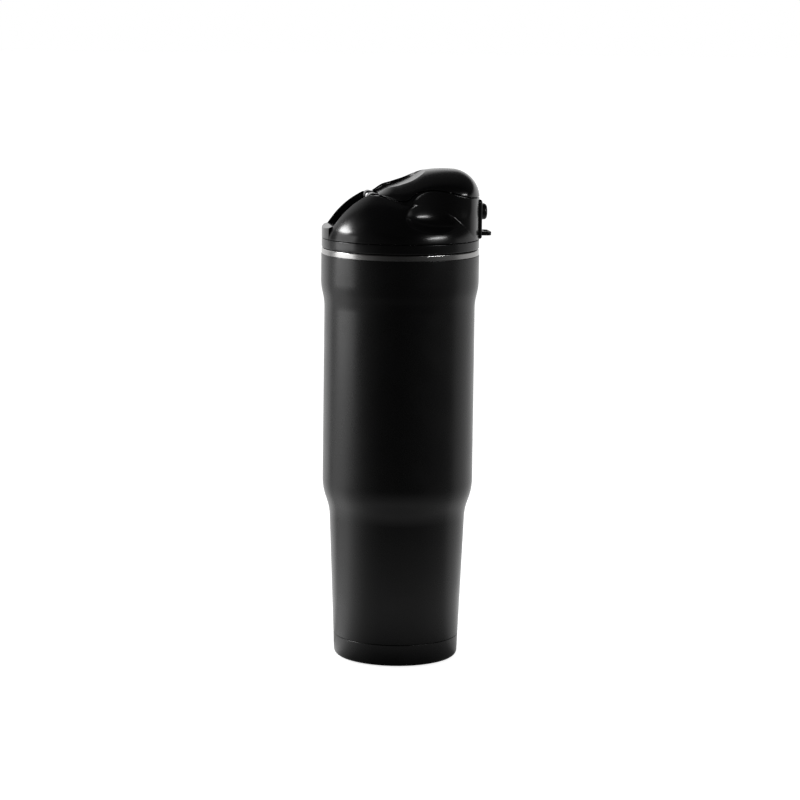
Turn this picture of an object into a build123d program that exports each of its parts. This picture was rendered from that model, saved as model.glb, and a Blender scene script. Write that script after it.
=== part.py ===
"""Insulated travel mug: a double-walled steel cup with a screwed lid and a latched flip cover.

Millimetres, +Z up, origin on the floor under the cup's axis. The lid's channel, hinge, spout
and push button all lie along X, with the button at +X.
"""

import os
from math import sqrt

from build123d import *

os.makedirs("parts", exist_ok=True)

# ---- Cup ---------------------------------------------------------------------------------
foot_radius = 38.0          # lower end of the outer shell, made to stand in a cup holder
foot_taper = 3.4            # the lower part widens by this much up to the waist
shoulder_step = 4.4         # then the shoulder widens it to the straight body
collar_step = 2.0           # and the collar stands proud of the body, under the lip
waist_z = 91.5
shoulder_rise = 13.3
coat_top_z = 247.8          # end of the black coat, start of the bare steel lip
collar_height = 19.2
collar_flare = 9.6
lip_height = 3.6
bend_radius = 34.0          # soft bends of the shell's outline
shell_wall = 0.8
liner_wall = 0.7
vacuum_gap = 3.0
liner_floor_z = 11.0
liner_corner = 9.0
lip_round = 0.9

groove_z = 6.0              # seam between the base cap and the shell
cap_wall = 1.0
cap_round = 5.0
cap_lip = 3.0               # how far the cap reaches up inside the shell
seam = 0.3                  # fine groove between two pressed pieces
pad_margin = 7.0            # width of the cap's ring around the pad
pad_thickness = 1.6
pad_proud = 0.4             # how far the pad stands below the cap
port_radius = 2.0           # vacuum port in the middle of the cap
getter_radius = 8.0
getter_thickness = 1.5
getter_margin = 15.0        # from the pad's edge in to the getter's centre

seat_gap = 0.3              # lid over lip, and every other stop at rest
fit = 0.2                   # clearance between moulded pieces
running = 0.05              # radial clearance of a turning pin

waist_radius = foot_radius + foot_taper
body_radius = waist_radius + shoulder_step
collar_radius = body_radius + collar_step
shoulder_z = waist_z + shoulder_rise
collar_z = coat_top_z - collar_height
collar_start_z = collar_z - collar_flare
lip_z = coat_top_z + lip_height
lip_radius = collar_radius - fit
liner_offset = shell_wall + vacuum_gap + liner_wall
mouth_radius = body_radius - liner_offset + 0.2
pad_radius = foot_radius - pad_margin

# ---- Lid: heights are taken from its underside, where it rests on the lip ----------------
lid_z = lip_z + seat_gap
wall = 2.2                  # moulded lid wall
cover_wall = 2.0
ring_height = 5.6           # visible band of the screwed plug
ring_top_z = lid_z + ring_height
flange_thickness = 2.8
plug_play = 0.9             # room for the screw thread
plug_wall = 2.2
plug_depth = 23.4           # below the lip
gasket_height = 3.2
gasket_groove = 1.4
gasket_offset = 6.0         # groove above the plug's lower end

dome_edge_z = lid_z + 9.3   # where the dome leaves the ring's wall
dome_rise = 30.6            # from there to the top of the dome's sphere
channel_half_width = 14.4
channel_floor_z = lid_z + 13.6
channel_end_x = -12.6

hinge_x = -18.6
hinge_z = lid_z + 30.6
pin_radius = 1.2
pin_length = 35.0
knuckle_radius = 3.1
knuckle_inner_y = 6.0
knuckle_outer_y = 14.0
splip_radius = 2.5
spring_half_length = 5.5
hinge_notch_z = hinge_z + 2.1   # cheeks are cut down here so that the cover's rear edge swings past
hinge_notch_x = hinge_x - 2.4

# the flip cover: x, half-width, height of its side's top and height of its crest
cover_stations = (
    (-15.6, 21.3, 31.7, 34.4),
    (-10.0, 27.4, 29.9, 38.7),
    (-4.0, 32.4, 27.7, 41.0),
    (3.0, 32.8, 29.3, 43.3),
    (11.0, 31.2, 32.3, 46.1),
    (20.0, 29.9, 33.3, 47.5),
)
nose_setback = 0.4          # nose inside the collar, in plan
nose_half_width = 29.8
nose_round = 17.3           # side view rounding of the nose
nose_side_z = lid_z + 30.3  # where the rounding starts
nose_steps = (0.0, 0.4, 0.65, 0.82, 0.93, 0.985)
crest_z = nose_side_z + nose_round
skirt_z = lid_z + 6.3       # how far down the nose body runs inside the dome

# side view of the parting line, from the hinge to the nose
parting_line = (
    (-15.6, 32.6), (-10.4, 30.6), (-5.2, 27.9), (-0.6, 27.3), (3.0, 31.9),
    (9.0, 35.3), (17.0, 36.1), (26.0, 34.9), (34.0, 32.7), (42.0, 31.5), (60.0, 31.1),
)
parting_gap = 0.6

trough_half_width = 11.5
trough_end_x = 14.5
trough_line = ((-20.0, 29.9), (-9.0, 35.3), (0.0, 38.2), (8.0, 41.9), (16.0, 48.3))

scoop_x = 22.0              # thumb scoop: a cut ellipsoid in each side
scoop_z = lid_z + 29.3
scoop_y = 45.0
scoop_length = 22.0
scoop_radius = 17.0

basin_floor_z = lid_z + 18.3    # deck under the cover
basin_start_x = channel_end_x + 3.0
basin_inset = 2.8
deck_thickness = 2.2
web_relief_z = hinge_z - 1.9    # the deck's rear wall is cut down here under the cover's webs

spout_x = 20.0
spout_radius = 10.5
spout_bore = 8.5
spout_top_z = lid_z + 35.7
spout_flange = 1.0
spout_flange_thickness = 1.4

vent_x = 3.0
vent_radius = 3.2
vent_bore = 1.8
vent_top_z = lid_z + 32.3

seal_thickness = 2.0
seal_plug_depth = 2.6
seal_plug_play = 0.7
seal_overhang = 0.7
plate_thickness = 2.0
seal_stem_radius = 3.0
seal_bulb_radius = 4.2
vent_seal_thickness = 1.8
vent_post_radius = 3.8

nose_radius = collar_radius - nose_setback
dome_edge_radius = collar_radius - seat_gap
dome_radius = (dome_edge_radius**2 + dome_rise**2) / (2 * dome_rise)
dome_centre_z = dome_edge_z + dome_rise - dome_radius
plug_radius = mouth_radius - plug_play
plate_z = spout_top_z + seat_gap + seal_thickness
plate_start_x = spout_x - spout_radius - seal_overhang - 0.2

# ---- Button, latch and lock: set back from the boss's face -------------------------------
boss_proud = 0.9            # boss in front of the nose
boss_depth = 6.3
boss_half_width = 11.0
boss_bottom_z = ring_top_z + fit
boss_top_z = lid_z + 29.6
boss_round = 1.4
front_wall = 2.8            # the boss's front wall

button_z = lid_z + 21.9
button_height = 9.6
button_width = 16.0
button_proud = 3.6
button_shank = 1.1          # behind the front wall
button_travel = 2.2

latch_foot_length = 3.2
latch_foot_height = 3.0
latch_thickness = 1.6
latch_half_width = 5.5
latch_nose_height = 2.0
latch_nose_reach = 0.7
catch_setback = 2.3
catch_thickness = 1.2
catch_ledge = 1.0
catch_ledge_height = 1.6
catch_half_width = 5.0

bulkhead_gap = 0.9
bulkhead_thickness = 1.6
bulkhead_height = 9.0
bulkhead_half_width = 6.0
button_splip_radius = 2.4
button_spring_wire = 0.6

lever_half_width = 8.0
lever_thickness = 2.4
lever_z = lid_z + 8.9
lever_proud = 6.3
lever_slot_length = 9.0
lever_slot_width = 3.0
pocket_height = 9.4
lock_pin_radius = 0.6
lock_pin_length = 20.0

boss_face_x = nose_radius + boss_proud
boss_inner_x = boss_face_x - boss_depth
front_wall_x = boss_face_x - front_wall
button_inner_x = front_wall_x - button_shank
button_top_z = button_z + button_height / 2
catch_x = front_wall_x - catch_setback
catch_bottom_z = button_top_z + 0.8
latch_nose_z = catch_bottom_z + catch_ledge_height + fit
latch_foot_z = button_z - 2.0
latch_back_x = button_inner_x - latch_foot_length - latch_thickness
button_spring_z = latch_foot_z + latch_foot_height + 1.6
bulkhead_x = spout_x + spout_radius + spout_flange + bulkhead_gap
lever_pivot_x = boss_face_x - 0.9
lever_reach = boss_face_x + lever_proud
pocket_x = lever_pivot_x - lever_thickness / 2 - seat_gap
pocket_bottom_z = lever_z - 1.8


def save(part, name):
    """Label one finished piece and write its STEP file."""
    part.label = name
    export_step(part, f"parts/{name}.step")
    return part


def shell_outline(inset):
    """Corner points (radius, height) of the cup's outer line, moved inwards by inset."""
    return (
        (waist_radius - inset, waist_z),
        (body_radius - inset, shoulder_z),
        (body_radius - 0.2 - inset, collar_start_z),
        (collar_radius - inset, collar_z),
    )


# ---- Outer shell -------------------------------------------------------------------------
with BuildPart() as outer_shell:
    with BuildSketch(Plane.XZ):
        with BuildLine():
            outer = FilletPolyline(
                (foot_radius, groove_z + seam), *shell_outline(0), (collar_radius, coat_top_z),
                radius=bend_radius,
            )
            inner = FilletPolyline(
                (foot_radius - shell_wall, groove_z + seam), *shell_outline(shell_wall),
                (collar_radius - shell_wall, coat_top_z), radius=bend_radius,
            )
            Line(outer @ 0, inner @ 0)
            Line(outer @ 1, inner @ 1)
        make_face()
    revolve(axis=Axis.Z)
save(outer_shell.part, "outer_shell")

# ---- Inner liner with its rolled steel lip -----------------------------------------------
liner_foot = foot_radius - liner_offset
with BuildPart() as inner_liner:
    with BuildSketch(Plane.XZ):
        with BuildLine():
            FilletPolyline(
                (0, liner_floor_z),
                (liner_foot, liner_floor_z),
                (waist_radius - liner_offset, waist_z),
                (mouth_radius, shoulder_z),
                (mouth_radius, lip_z),
                (lip_radius, lip_z),
                (lip_radius, coat_top_z),
                (lip_radius - shell_wall, coat_top_z),
                (lip_radius - shell_wall, lip_z - 1.2),
                (mouth_radius + liner_wall, lip_z - 1.2),
                (mouth_radius + liner_wall, shoulder_z),
                (waist_radius - liner_offset + liner_wall, waist_z),
                (liner_foot + liner_wall, liner_floor_z - liner_wall),
                (0, liner_floor_z - liner_wall),
                radius=[
                    liner_corner, bend_radius, bend_radius, lip_round, lip_round, 0, 0, 0.5, 0.5,
                    bend_radius, bend_radius, liner_corner + liner_wall,
                ],
            )
            Line((0, liner_floor_z - liner_wall), (0, liner_floor_z))
        make_face()
    revolve(axis=Axis.Z)
save(inner_liner.part, "inner_liner")

# ---- Base cap, vacuum port plug, getter and non-slip pad ---------------------------------
cap_foot_z = pad_proud
cap_floor_z = pad_thickness + fit
cap_inner = foot_radius - shell_wall - 0.1
with BuildPart() as base_cap:
    with BuildSketch(Plane.XZ):
        with BuildLine():
            FilletPolyline(
                (port_radius, cap_floor_z),
                (pad_radius + fit, cap_floor_z),
                (pad_radius + fit, cap_foot_z),
                (foot_radius - 0.3, cap_foot_z),
                (foot_radius, groove_z),
                (cap_inner, groove_z),
                (cap_inner, groove_z + cap_lip),
                (cap_inner - cap_wall, groove_z + cap_lip),
                (cap_inner - cap_wall, cap_floor_z + cap_wall),
                (port_radius, cap_floor_z + cap_wall),
                radius=[0, 0, cap_round, 0, 0, 0, 0, 2.5],
            )
            Line((port_radius, cap_floor_z + cap_wall), (port_radius, cap_floor_z))
        make_face()
    revolve(axis=Axis.Z)
save(base_cap.part, "base_cap")

with BuildPart() as vacuum_plug:
    with Locations((0, 0, cap_floor_z)):
        Cylinder(port_radius, cap_wall, align=(Align.CENTER, Align.CENTER, Align.MIN))
    with Locations((0, 0, cap_floor_z + cap_wall)):
        Cylinder(port_radius + 1.0, 0.8, align=(Align.CENTER, Align.CENTER, Align.MIN))
    fillet(vacuum_plug.edges().group_by(Axis.Z)[-1], 0.5)
save(vacuum_plug.part, "vacuum_plug")

with BuildPart() as getter:
    with Locations((pad_radius - getter_margin, 0, cap_floor_z + cap_wall)):
        Cylinder(getter_radius, getter_thickness, align=(Align.CENTER, Align.CENTER, Align.MIN))
    chamfer(getter.edges().group_by(Axis.Z)[-1], 0.4)
save(getter.part, "getter")

with BuildPart() as base_pad:
    Cylinder(pad_radius, pad_thickness, align=(Align.CENTER, Align.CENTER, Align.MIN))
    fillet(base_pad.edges().group_by(Axis.Z)[0], 0.4)
save(base_pad.part, "base_pad")

# ---- Screwed plug: visible band, flange over the lip, plug wall and floor ----------------
plug_bottom_z = lip_z - plug_depth
groove_bottom_z = plug_bottom_z + gasket_offset
groove_radius = plug_radius - gasket_groove
with BuildPart() as lid_plug:
    with BuildSketch(Plane.XZ):
        with BuildLine():
            Polyline(
                (0, plug_bottom_z),
                (plug_radius, plug_bottom_z),
                (plug_radius, groove_bottom_z),
                (groove_radius, groove_bottom_z),
                (groove_radius, groove_bottom_z + gasket_height + fit),
                (plug_radius, groove_bottom_z + gasket_height + fit),
                (plug_radius, lid_z),
                (lip_radius, lid_z),
                (lip_radius, ring_top_z),
                (lip_radius - wall, ring_top_z),
                (lip_radius - wall, lid_z + flange_thickness),
                (groove_radius - plug_wall, lid_z + flange_thickness),
                (groove_radius - plug_wall, plug_bottom_z + plug_wall),
                (0, plug_bottom_z + plug_wall),
                close=True,
            )
        make_face()
    revolve(axis=Axis.Z)
    fillet(lid_plug.edges().filter_by(GeomType.CIRCLE).group_by(Axis.Z)[0], 1.2)
    with Locations((spout_x, 0, plug_bottom_z)):
        Cylinder(spout_radius + fit / 2, 3 * plug_wall, mode=Mode.SUBTRACT)
    with Locations((vent_x, 0, plug_bottom_z)):
        Cylinder(vent_radius + fit / 2, 3 * plug_wall, mode=Mode.SUBTRACT)
save(lid_plug.part, "lid_plug")

with BuildPart() as lid_gasket:
    with BuildSketch(Plane.XZ):
        gasket_z = groove_bottom_z + fit / 2
        gasket_inner = groove_radius + running
        gasket_outer = mouth_radius - seat_gap
        gasket_mid = plug_radius - 0.4
        with BuildLine():
            Polyline(
                (gasket_inner, gasket_z),
                (gasket_mid, gasket_z),
                (gasket_outer, gasket_z + 0.5),
                (gasket_outer, gasket_z + 1.0),
                (gasket_mid, gasket_z + gasket_height / 2),
                (gasket_outer, gasket_z + gasket_height - 1.0),
                (gasket_outer, gasket_z + gasket_height - 0.5),
                (gasket_mid, gasket_z + gasket_height),
                (gasket_inner, gasket_z + gasket_height),
                close=True,
            )
        make_face()
    revolve(axis=Axis.Z)
save(lid_gasket.part, "lid_gasket")


# ---- Forms shared by the lid body and the flip cover -------------------------------------
def dome_form(inset):
    """Solid cap of the dome sphere over the ring's wall, moved inwards by inset."""
    edge_radius = collar_radius - inset
    sphere = dome_radius - inset
    edge_z = dome_centre_z + sqrt(sphere**2 - min(edge_radius, sphere - 0.1) ** 2)
    with BuildPart() as form:
        with BuildSketch(Plane.XZ):
            with BuildLine():
                Line((0, ring_top_z + seam), (edge_radius, ring_top_z + seam))
                Line((edge_radius, ring_top_z + seam), (edge_radius, edge_z))
                RadiusArc((edge_radius, edge_z), (0, dome_centre_z + sphere), -sphere)
                Line((0, dome_centre_z + sphere), (0, ring_top_z + seam))
            make_face()
        revolve(axis=Axis.Z)
    return form.part


def nose_form(inset):
    """Rounded form of cover and nose: arched sections along X, closing in round at the nose.

    The nose follows a circle in side view. Its half-width blends the straight sides with the
    plan circle, as the eighth-power mean of the two.
    """
    sections = [(x, half, side + lid_z, top + lid_z) for x, half, side, top in cover_stations]
    for step in nose_steps:
        x = nose_radius - nose_round * (1 - step)
        plan = sqrt(nose_radius**2 - x**2)
        half_width = (nose_half_width**-8 + plan**-8) ** -0.125
        top = nose_side_z + nose_round * sqrt(1 - step**2)
        side = nose_side_z + 2 * (1 - step)
        sections.append((x - inset * step, half_width, side, top))
    with BuildPart() as form:
        for x, half_width, side_z, top_z in sections:
            half = half_width - inset
            side = side_z - inset
            with BuildSketch(Plane.YZ.offset(x)):
                with BuildLine():
                    Polyline((-half, side), (-half, skirt_z), (half, skirt_z), (half, side))
                    EllipticalCenterArc((0, side), half, top_z - side_z, arc_size=180)
                make_face()
        loft()
    return form.part


def side_block(points, top, half_width, raise_by=0.0):
    """Block over a side-view line: all that lies above the points, within the half-width."""
    with BuildPart() as block:
        with BuildSketch(Plane.XZ):
            with BuildLine():
                line = Spline(*[(x, lid_z + height + raise_by) for x, height in points])
                Polyline(line @ 1, ((line @ 1).X, top), ((line @ 0).X, top), line @ 0)
            make_face()
        extrude(amount=half_width, both=True)
    return block.part


def trough_form(grow):
    """Shallow tongue cut along the cover's saddle, grown by grow on its sides and floor."""
    block = side_block(trough_line, crest_z + wall, dome_radius, -grow)
    half = trough_half_width + grow
    start = trough_line[0][0]
    with BuildPart() as tongue:
        with BuildSketch(Plane.XY.offset(skirt_z)):
            with BuildLine():
                Polyline((0, half), (start, half), (start, -half), (0, -half))
                Spline((0, -half), (trough_end_x + grow, 0), (0, half), tangents=((1, 0), (-1, 0)))
            make_face()
        extrude(amount=60)
    return block & tongue.part


def scoop_form(grow):
    """The two thumb scoops: ellipsoids lying along X, beside the nose."""
    with BuildPart() as form:
        for side in (-1, 1):
            centre = (scoop_x, side * scoop_y, scoop_z)
            with BuildSketch(Plane(centre, x_dir=(1, 0, 0), z_dir=(0, -1, 0))):
                with BuildLine():
                    EllipticalCenterArc(
                        (0, 0), scoop_length + grow, scoop_radius + grow, arc_size=180
                    )
                    Line((-scoop_length - grow, 0), (scoop_length + grow, 0))
                make_face()
            revolve(axis=Axis(centre, (1, 0, 0)))
    return form.part


def channel_form(grow):
    """Straight channel from the hinge out through the dome's left side, with a bevelled sill."""
    sill_x = -(collar_radius - channel_floor_z + dome_edge_z)
    with BuildPart() as form:
        with BuildSketch(Plane.XZ):
            Polygon(
                (channel_end_x + grow, channel_floor_z - grow),
                (channel_end_x + grow, crest_z + 5),
                (sill_x - 30, crest_z + 5),
                (sill_x - 30, dome_edge_z - 2 - grow),
                (sill_x - (channel_floor_z - dome_edge_z + 2), dome_edge_z - 2 - grow),
                (sill_x, channel_floor_z - grow),
                align=None,
            )
        extrude(amount=channel_half_width + grow, both=True)
    return form.part


def slab(x0, x1, half_width, z0, z1):
    """Box between two X and two Z values, centred on the lid's mid-plane."""
    return Box(
        x1 - x0, 2 * half_width, z1 - z0, align=(Align.MIN, Align.CENTER, Align.MIN),
        mode=Mode.PRIVATE,
    ).moved(Location((x0, 0, z0)))


above_parting = side_block(parting_line, crest_z + wall, dome_radius, -parting_gap / 2)
cover_zone = side_block(parting_line, crest_z + wall, dome_radius, parting_gap / 2)
hinge_axis = Plane((hinge_x, 0, hinge_z), x_dir=(1, 0, 0), z_dir=(0, -1, 0))
lever_plane = Plane((lever_pivot_x, 0, lever_z), x_dir=(1, 0, 0), z_dir=(0, -1, 0))

# ---- Lid body ----------------------------------------------------------------------------
basin = nose_form(basin_inset) & slab(
    basin_start_x, boss_face_x, nose_radius, basin_floor_z, crest_z
)
basin_wall = nose_form(0.4) & slab(
    basin_start_x - deck_thickness, boss_face_x, nose_radius, basin_floor_z - deck_thickness, crest_z
)
hollow = (
    dome_form(wall) - channel_form(wall) - basin_wall - scoop_form(wall)
    - slab(hinge_x - 6, hinge_x + 7, dome_radius, hinge_z - 7, crest_z)
    - slab(boss_inner_x + 1.4, boss_face_x, boss_half_width, ring_top_z, crest_z)
)

with BuildPart() as lid_body:
    add(dome_form(0) + nose_form(0))
    with BuildSketch(Plane.YZ.offset(boss_inner_x)):
        with Locations((0, (boss_bottom_z + boss_top_z) / 2)):
            Rectangle(2 * boss_half_width, boss_top_z - boss_bottom_z)
    extrude(amount=boss_depth)
    fillet(lid_body.faces().sort_by(Axis.X)[-1].edges(), boss_round)
    add(above_parting, mode=Mode.SUBTRACT)
    add(channel_form(0), mode=Mode.SUBTRACT)
    add(scoop_form(0), mode=Mode.SUBTRACT)
    add(hollow, mode=Mode.SUBTRACT)
    add(basin - scoop_form(wall), mode=Mode.SUBTRACT)
    # spigot that locates the body inside the screwed plug's band
    with BuildSketch(Plane.XZ):
        spigot = lip_radius - wall - fit
        Polygon(
            (spigot - wall, lid_z + flange_thickness + fit),
            (spigot, lid_z + flange_thickness + fit),
            (spigot, ring_top_z + seam),
            (collar_radius - wall + 0.4, ring_top_z + seam),
            (collar_radius - wall + 0.4, ring_top_z + 3),
            (spigot - wall, ring_top_z + 3),
            align=None,
        )
    revolve(axis=Axis.Z)
    # hinge: notch over the cheeks, relief behind the deck, blind bores for the pin
    add(slab(hinge_notch_x, cover_stations[0][0], 24, hinge_notch_z, crest_z), mode=Mode.SUBTRACT)
    add(
        slab(channel_end_x - 1, basin_start_x + 0.1, channel_half_width, web_relief_z, crest_z),
        mode=Mode.SUBTRACT,
    )
    with Locations(hinge_axis):
        Cylinder(pin_radius, pin_length + 2 * fit, mode=Mode.SUBTRACT)
    # deck: holes for spout and vent, bulkhead for the button's spring
    for x, radius in ((spout_x, spout_radius), (vent_x, vent_radius)):
        with Locations((x, 0, basin_floor_z)):
            Cylinder(radius + fit / 2, 3 * deck_thickness, mode=Mode.SUBTRACT)
    add(
        slab(
            bulkhead_x, bulkhead_x + bulkhead_thickness, bulkhead_half_width,
            basin_floor_z - 1, basin_floor_z + bulkhead_height,
        )
    )
    # latch chamber, button hole and lever pocket in the boss
    add(
        slab(
            latch_back_x - 3.6, front_wall_x, button_width / 2 + 2 * fit,
            basin_floor_z + 0.6, crest_z,
        ),
        mode=Mode.SUBTRACT,
    )
    with BuildSketch(Plane.YZ.offset(button_inner_x - button_travel - fit)):
        with Locations((0, button_z)):
            SlotOverall(button_width + 2 * fit, button_height + 2 * fit)
    extrude(amount=10, mode=Mode.SUBTRACT)
    add(
        slab(
            pocket_x, boss_face_x + 5, lever_half_width + 2 * fit,
            pocket_bottom_z, pocket_bottom_z + pocket_height,
        ),
        mode=Mode.SUBTRACT,
    )
    with Locations(lever_plane):
        Cylinder(lock_pin_radius, lock_pin_length, mode=Mode.SUBTRACT)
save(lid_body.part, "lid_body")

# ---- Spout and vent tube -----------------------------------------------------------------
with BuildPart() as spout:
    with Locations((spout_x, 0, plug_bottom_z)):
        Cylinder(spout_radius, spout_top_z - plug_bottom_z, align=(Align.CENTER, Align.CENTER, Align.MIN))
    with Locations((spout_x, 0, basin_floor_z)):
        Cylinder(
            spout_radius + spout_flange, spout_flange_thickness,
            align=(Align.CENTER, Align.CENTER, Align.MIN),
        )
    with Locations((spout_x, 0, plug_bottom_z - 1)):
        Cylinder(spout_bore, 80, align=(Align.CENTER, Align.CENTER, Align.MIN), mode=Mode.SUBTRACT)
    fillet(spout.edges().group_by(Axis.Z)[-1], 0.6)
save(spout.part, "spout")

with BuildPart() as vent_tube:
    with Locations((vent_x, 0, plug_bottom_z)):
        Cylinder(vent_radius, vent_top_z - plug_bottom_z, align=(Align.CENTER, Align.CENTER, Align.MIN))
        Cylinder(
            vent_bore, vent_top_z - plug_bottom_z, align=(Align.CENTER, Align.CENTER, Align.MIN),
            mode=Mode.SUBTRACT,
        )
save(vent_tube.part, "vent_tube")

# ---- Hinge pin and its spring (plain sleeve around the pin) ------------------------------
with BuildPart() as hinge_pin:
    with Locations(hinge_axis):
        Cylinder(pin_radius, pin_length)
    chamfer(hinge_pin.edges().filter_by(GeomType.CIRCLE), 0.3)
save(hinge_pin.part, "hinge_pin")

with BuildPart() as hinge_spring:
    with Locations(hinge_axis):
        Cylinder(splip_radius, 2 * spring_half_length)
        Cylinder(pin_radius + fit, 2 * spring_half_length, mode=Mode.SUBTRACT)
save(hinge_spring.part, "hinge_spring")

# ---- Flip cover --------------------------------------------------------------------------
with BuildPart() as flip_cover:
    add(nose_form(0) & cover_zone)
    # shell of the trough, which dips below the parting line at the hinge
    add(
        nose_form(0)
        & trough_form(cover_wall)
        & slab(
            cover_stations[0][0], trough_end_x + 4, trough_half_width + cover_wall,
            hinge_z - 2.3, crest_z,
        )
    )
    for side in (-1, 1):
        middle = side * (knuckle_inner_y + knuckle_outer_y) / 2
        with Locations(hinge_axis.offset(-middle)):
            Cylinder(knuckle_radius, knuckle_outer_y - knuckle_inner_y)
        with Locations((hinge_x, middle, hinge_z - 1)):
            Box(
                8, knuckle_outer_y - knuckle_inner_y, knuckle_radius + 0.4,
                align=(Align.MIN, Align.CENTER, Align.MIN),
            )
    add((nose_form(cover_wall) - trough_form(cover_wall)), mode=Mode.SUBTRACT)
    add(trough_form(0), mode=Mode.SUBTRACT)
    with Locations((vent_x, 0, vent_top_z + seat_gap + vent_seal_thickness)):
        Cylinder(vent_post_radius, 4.6, align=(Align.CENTER, Align.CENTER, Align.MIN))
    with Locations(hinge_axis):
        Cylinder(pin_radius + running, 4 * knuckle_outer_y, mode=Mode.SUBTRACT)
save(flip_cover.part, "flip_cover")

# ---- Cover plate with the catch ----------------------------------------------------------
with BuildPart() as catch_arm:
    with BuildSketch(Plane.XZ):
        outer_x = catch_x + catch_thickness
        Polygon(
            (catch_x - catch_ledge, catch_bottom_z),
            (outer_x, catch_bottom_z),
            (outer_x, plate_z + plate_thickness),
            (catch_x - 5, plate_z + plate_thickness),
            (catch_x - 5, plate_z),
            (catch_x - 3, plate_z),
            (catch_x, plate_z - 5),
            (catch_x, catch_bottom_z + catch_ledge_height),
            (catch_x - catch_ledge, catch_bottom_z + catch_ledge_height - 0.6),
            align=None,
        )
    extrude(amount=catch_half_width, both=True)
with BuildPart() as cover_plate:
    add(slab(plate_start_x, catch_x - 0.5, nose_radius, plate_z, plate_z + plate_thickness))
    add(catch_arm.part)
    add(nose_form(cover_wall + fit), mode=Mode.INTERSECT)
    with Locations((spout_x, 0, plate_z)):
        Cylinder(seal_stem_radius + running, 4 * plate_thickness, mode=Mode.SUBTRACT)
save(cover_plate.part, "cover_plate")

with BuildPart() as spout_seal:
    with BuildSketch(Plane.XZ):
        plug = spout_bore - seal_plug_play
        seal_z = spout_top_z + seat_gap
        top_z = plate_z + plate_thickness
        with BuildLine():
            Polyline(
                (0, seal_z - seal_plug_depth),
                (plug - 1.0, seal_z - seal_plug_depth),
                (plug, seal_z - seal_plug_depth + 1.0),
                (plug, seal_z),
                (spout_radius + seal_overhang, seal_z),
                (spout_radius + seal_overhang, plate_z),
                (seal_stem_radius, plate_z),
                (seal_stem_radius, top_z),
                (seal_bulb_radius, top_z),
                (seal_bulb_radius, top_z + 0.6),
                (1.5, top_z + 2.4),
                (0, top_z + 2.4),
                close=True,
            )
        make_face()
    revolve(axis=Axis.Z)
spout_seal_part = spout_seal.part.moved(Location((spout_x, 0, 0)))
save(spout_seal_part, "spout_seal")

with BuildPart() as vent_seal:
    with Locations((vent_x, 0, vent_top_z + seat_gap)):
        Cylinder(vent_post_radius + 0.4, vent_seal_thickness, align=(Align.CENTER, Align.CENTER, Align.MIN))
    fillet(vent_seal.edges().group_by(Axis.Z)[0], 0.5)
save(vent_seal.part, "vent_seal")

# ---- Push button, latch and their spring -------------------------------------------------
with BuildPart() as push_button:
    with BuildSketch(Plane.YZ.offset(button_inner_x)):
        with Locations((0, button_z)):
            SlotOverall(button_width, button_height)
    extrude(amount=boss_face_x + button_proud - button_inner_x)
    fillet(push_button.faces().sort_by(Axis.X)[-1].edges(), 1.6)
save(push_button.part, "push_button")

with BuildPart() as latch:
    with BuildSketch(Plane.XZ):
        front = latch_back_x + latch_thickness
        top = latch_nose_z + latch_nose_height
        Polygon(
            (latch_back_x, latch_foot_z),
            (button_inner_x, latch_foot_z),
            (button_inner_x, latch_foot_z + latch_foot_height),
            (front, latch_foot_z + latch_foot_height),
            (front, latch_nose_z),
            (front + latch_nose_reach, latch_nose_z),
            (front + latch_nose_reach, top - 1.2),
            (front - 0.4, top),
            (latch_back_x, top),
            align=None,
        )
    extrude(amount=latch_half_width, both=True)
save(latch.part, "latch")

with BuildPart() as button_spring:
    spring_start = bulkhead_x + bulkhead_thickness
    with Locations(Plane((spring_start, 0, button_spring_z), x_dir=(0, 1, 0), z_dir=(1, 0, 0))):
        Cylinder(
            button_splip_radius, latch_back_x - spring_start,
            align=(Align.CENTER, Align.CENTER, Align.MIN),
        )
        Cylinder(
            button_splip_radius - button_spring_wire, latch_back_x - spring_start,
            align=(Align.CENTER, Align.CENTER, Align.MIN), mode=Mode.SUBTRACT,
        )
save(button_spring.part, "button_spring")

# ---- Lock lever and its pin --------------------------------------------------------------
with BuildPart() as lock_lever:
    with Locations(lever_plane):
        Cylinder(lever_thickness / 2, 2 * lever_half_width)
    with BuildSketch(Plane.XY.offset(lever_z - lever_thickness / 2)):
        with Locations(((lever_pivot_x + lever_reach) / 2, 0)):
            Rectangle(lever_reach - lever_pivot_x, 2 * lever_half_width)
        fillet(vertices().group_by(Axis.X)[-1], 2.5)
        with Locations(((lever_pivot_x + lever_reach) / 2 + 1.0, 0)):
            SlotOverall(lever_slot_length, lever_slot_width, rotation=90, mode=Mode.SUBTRACT)
    extrude(amount=lever_thickness)
    with Locations(lever_plane):
        Cylinder(lock_pin_radius + running, 2 * lever_half_width, mode=Mode.SUBTRACT)
save(lock_lever.part, "lock_lever")

with BuildPart() as lock_pin:
    with Locations(lever_plane):
        Cylinder(lock_pin_radius, lock_pin_length)
save(lock_pin.part, "lock_pin")
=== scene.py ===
"""Dressed scene of the insulated travel mug: glossy lid, satin coated cup, steel lip and fittings.

Lengths are metres, except that the lid's forms are worked out in millimetres with heights taken
from the lid's underside, where it rests on the cup's lip; lid_place() turns them into metres.
"""

from math import pi, radians

import bmesh
import bpy
import numpy as np
from mathutils import Matrix, Vector


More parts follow.
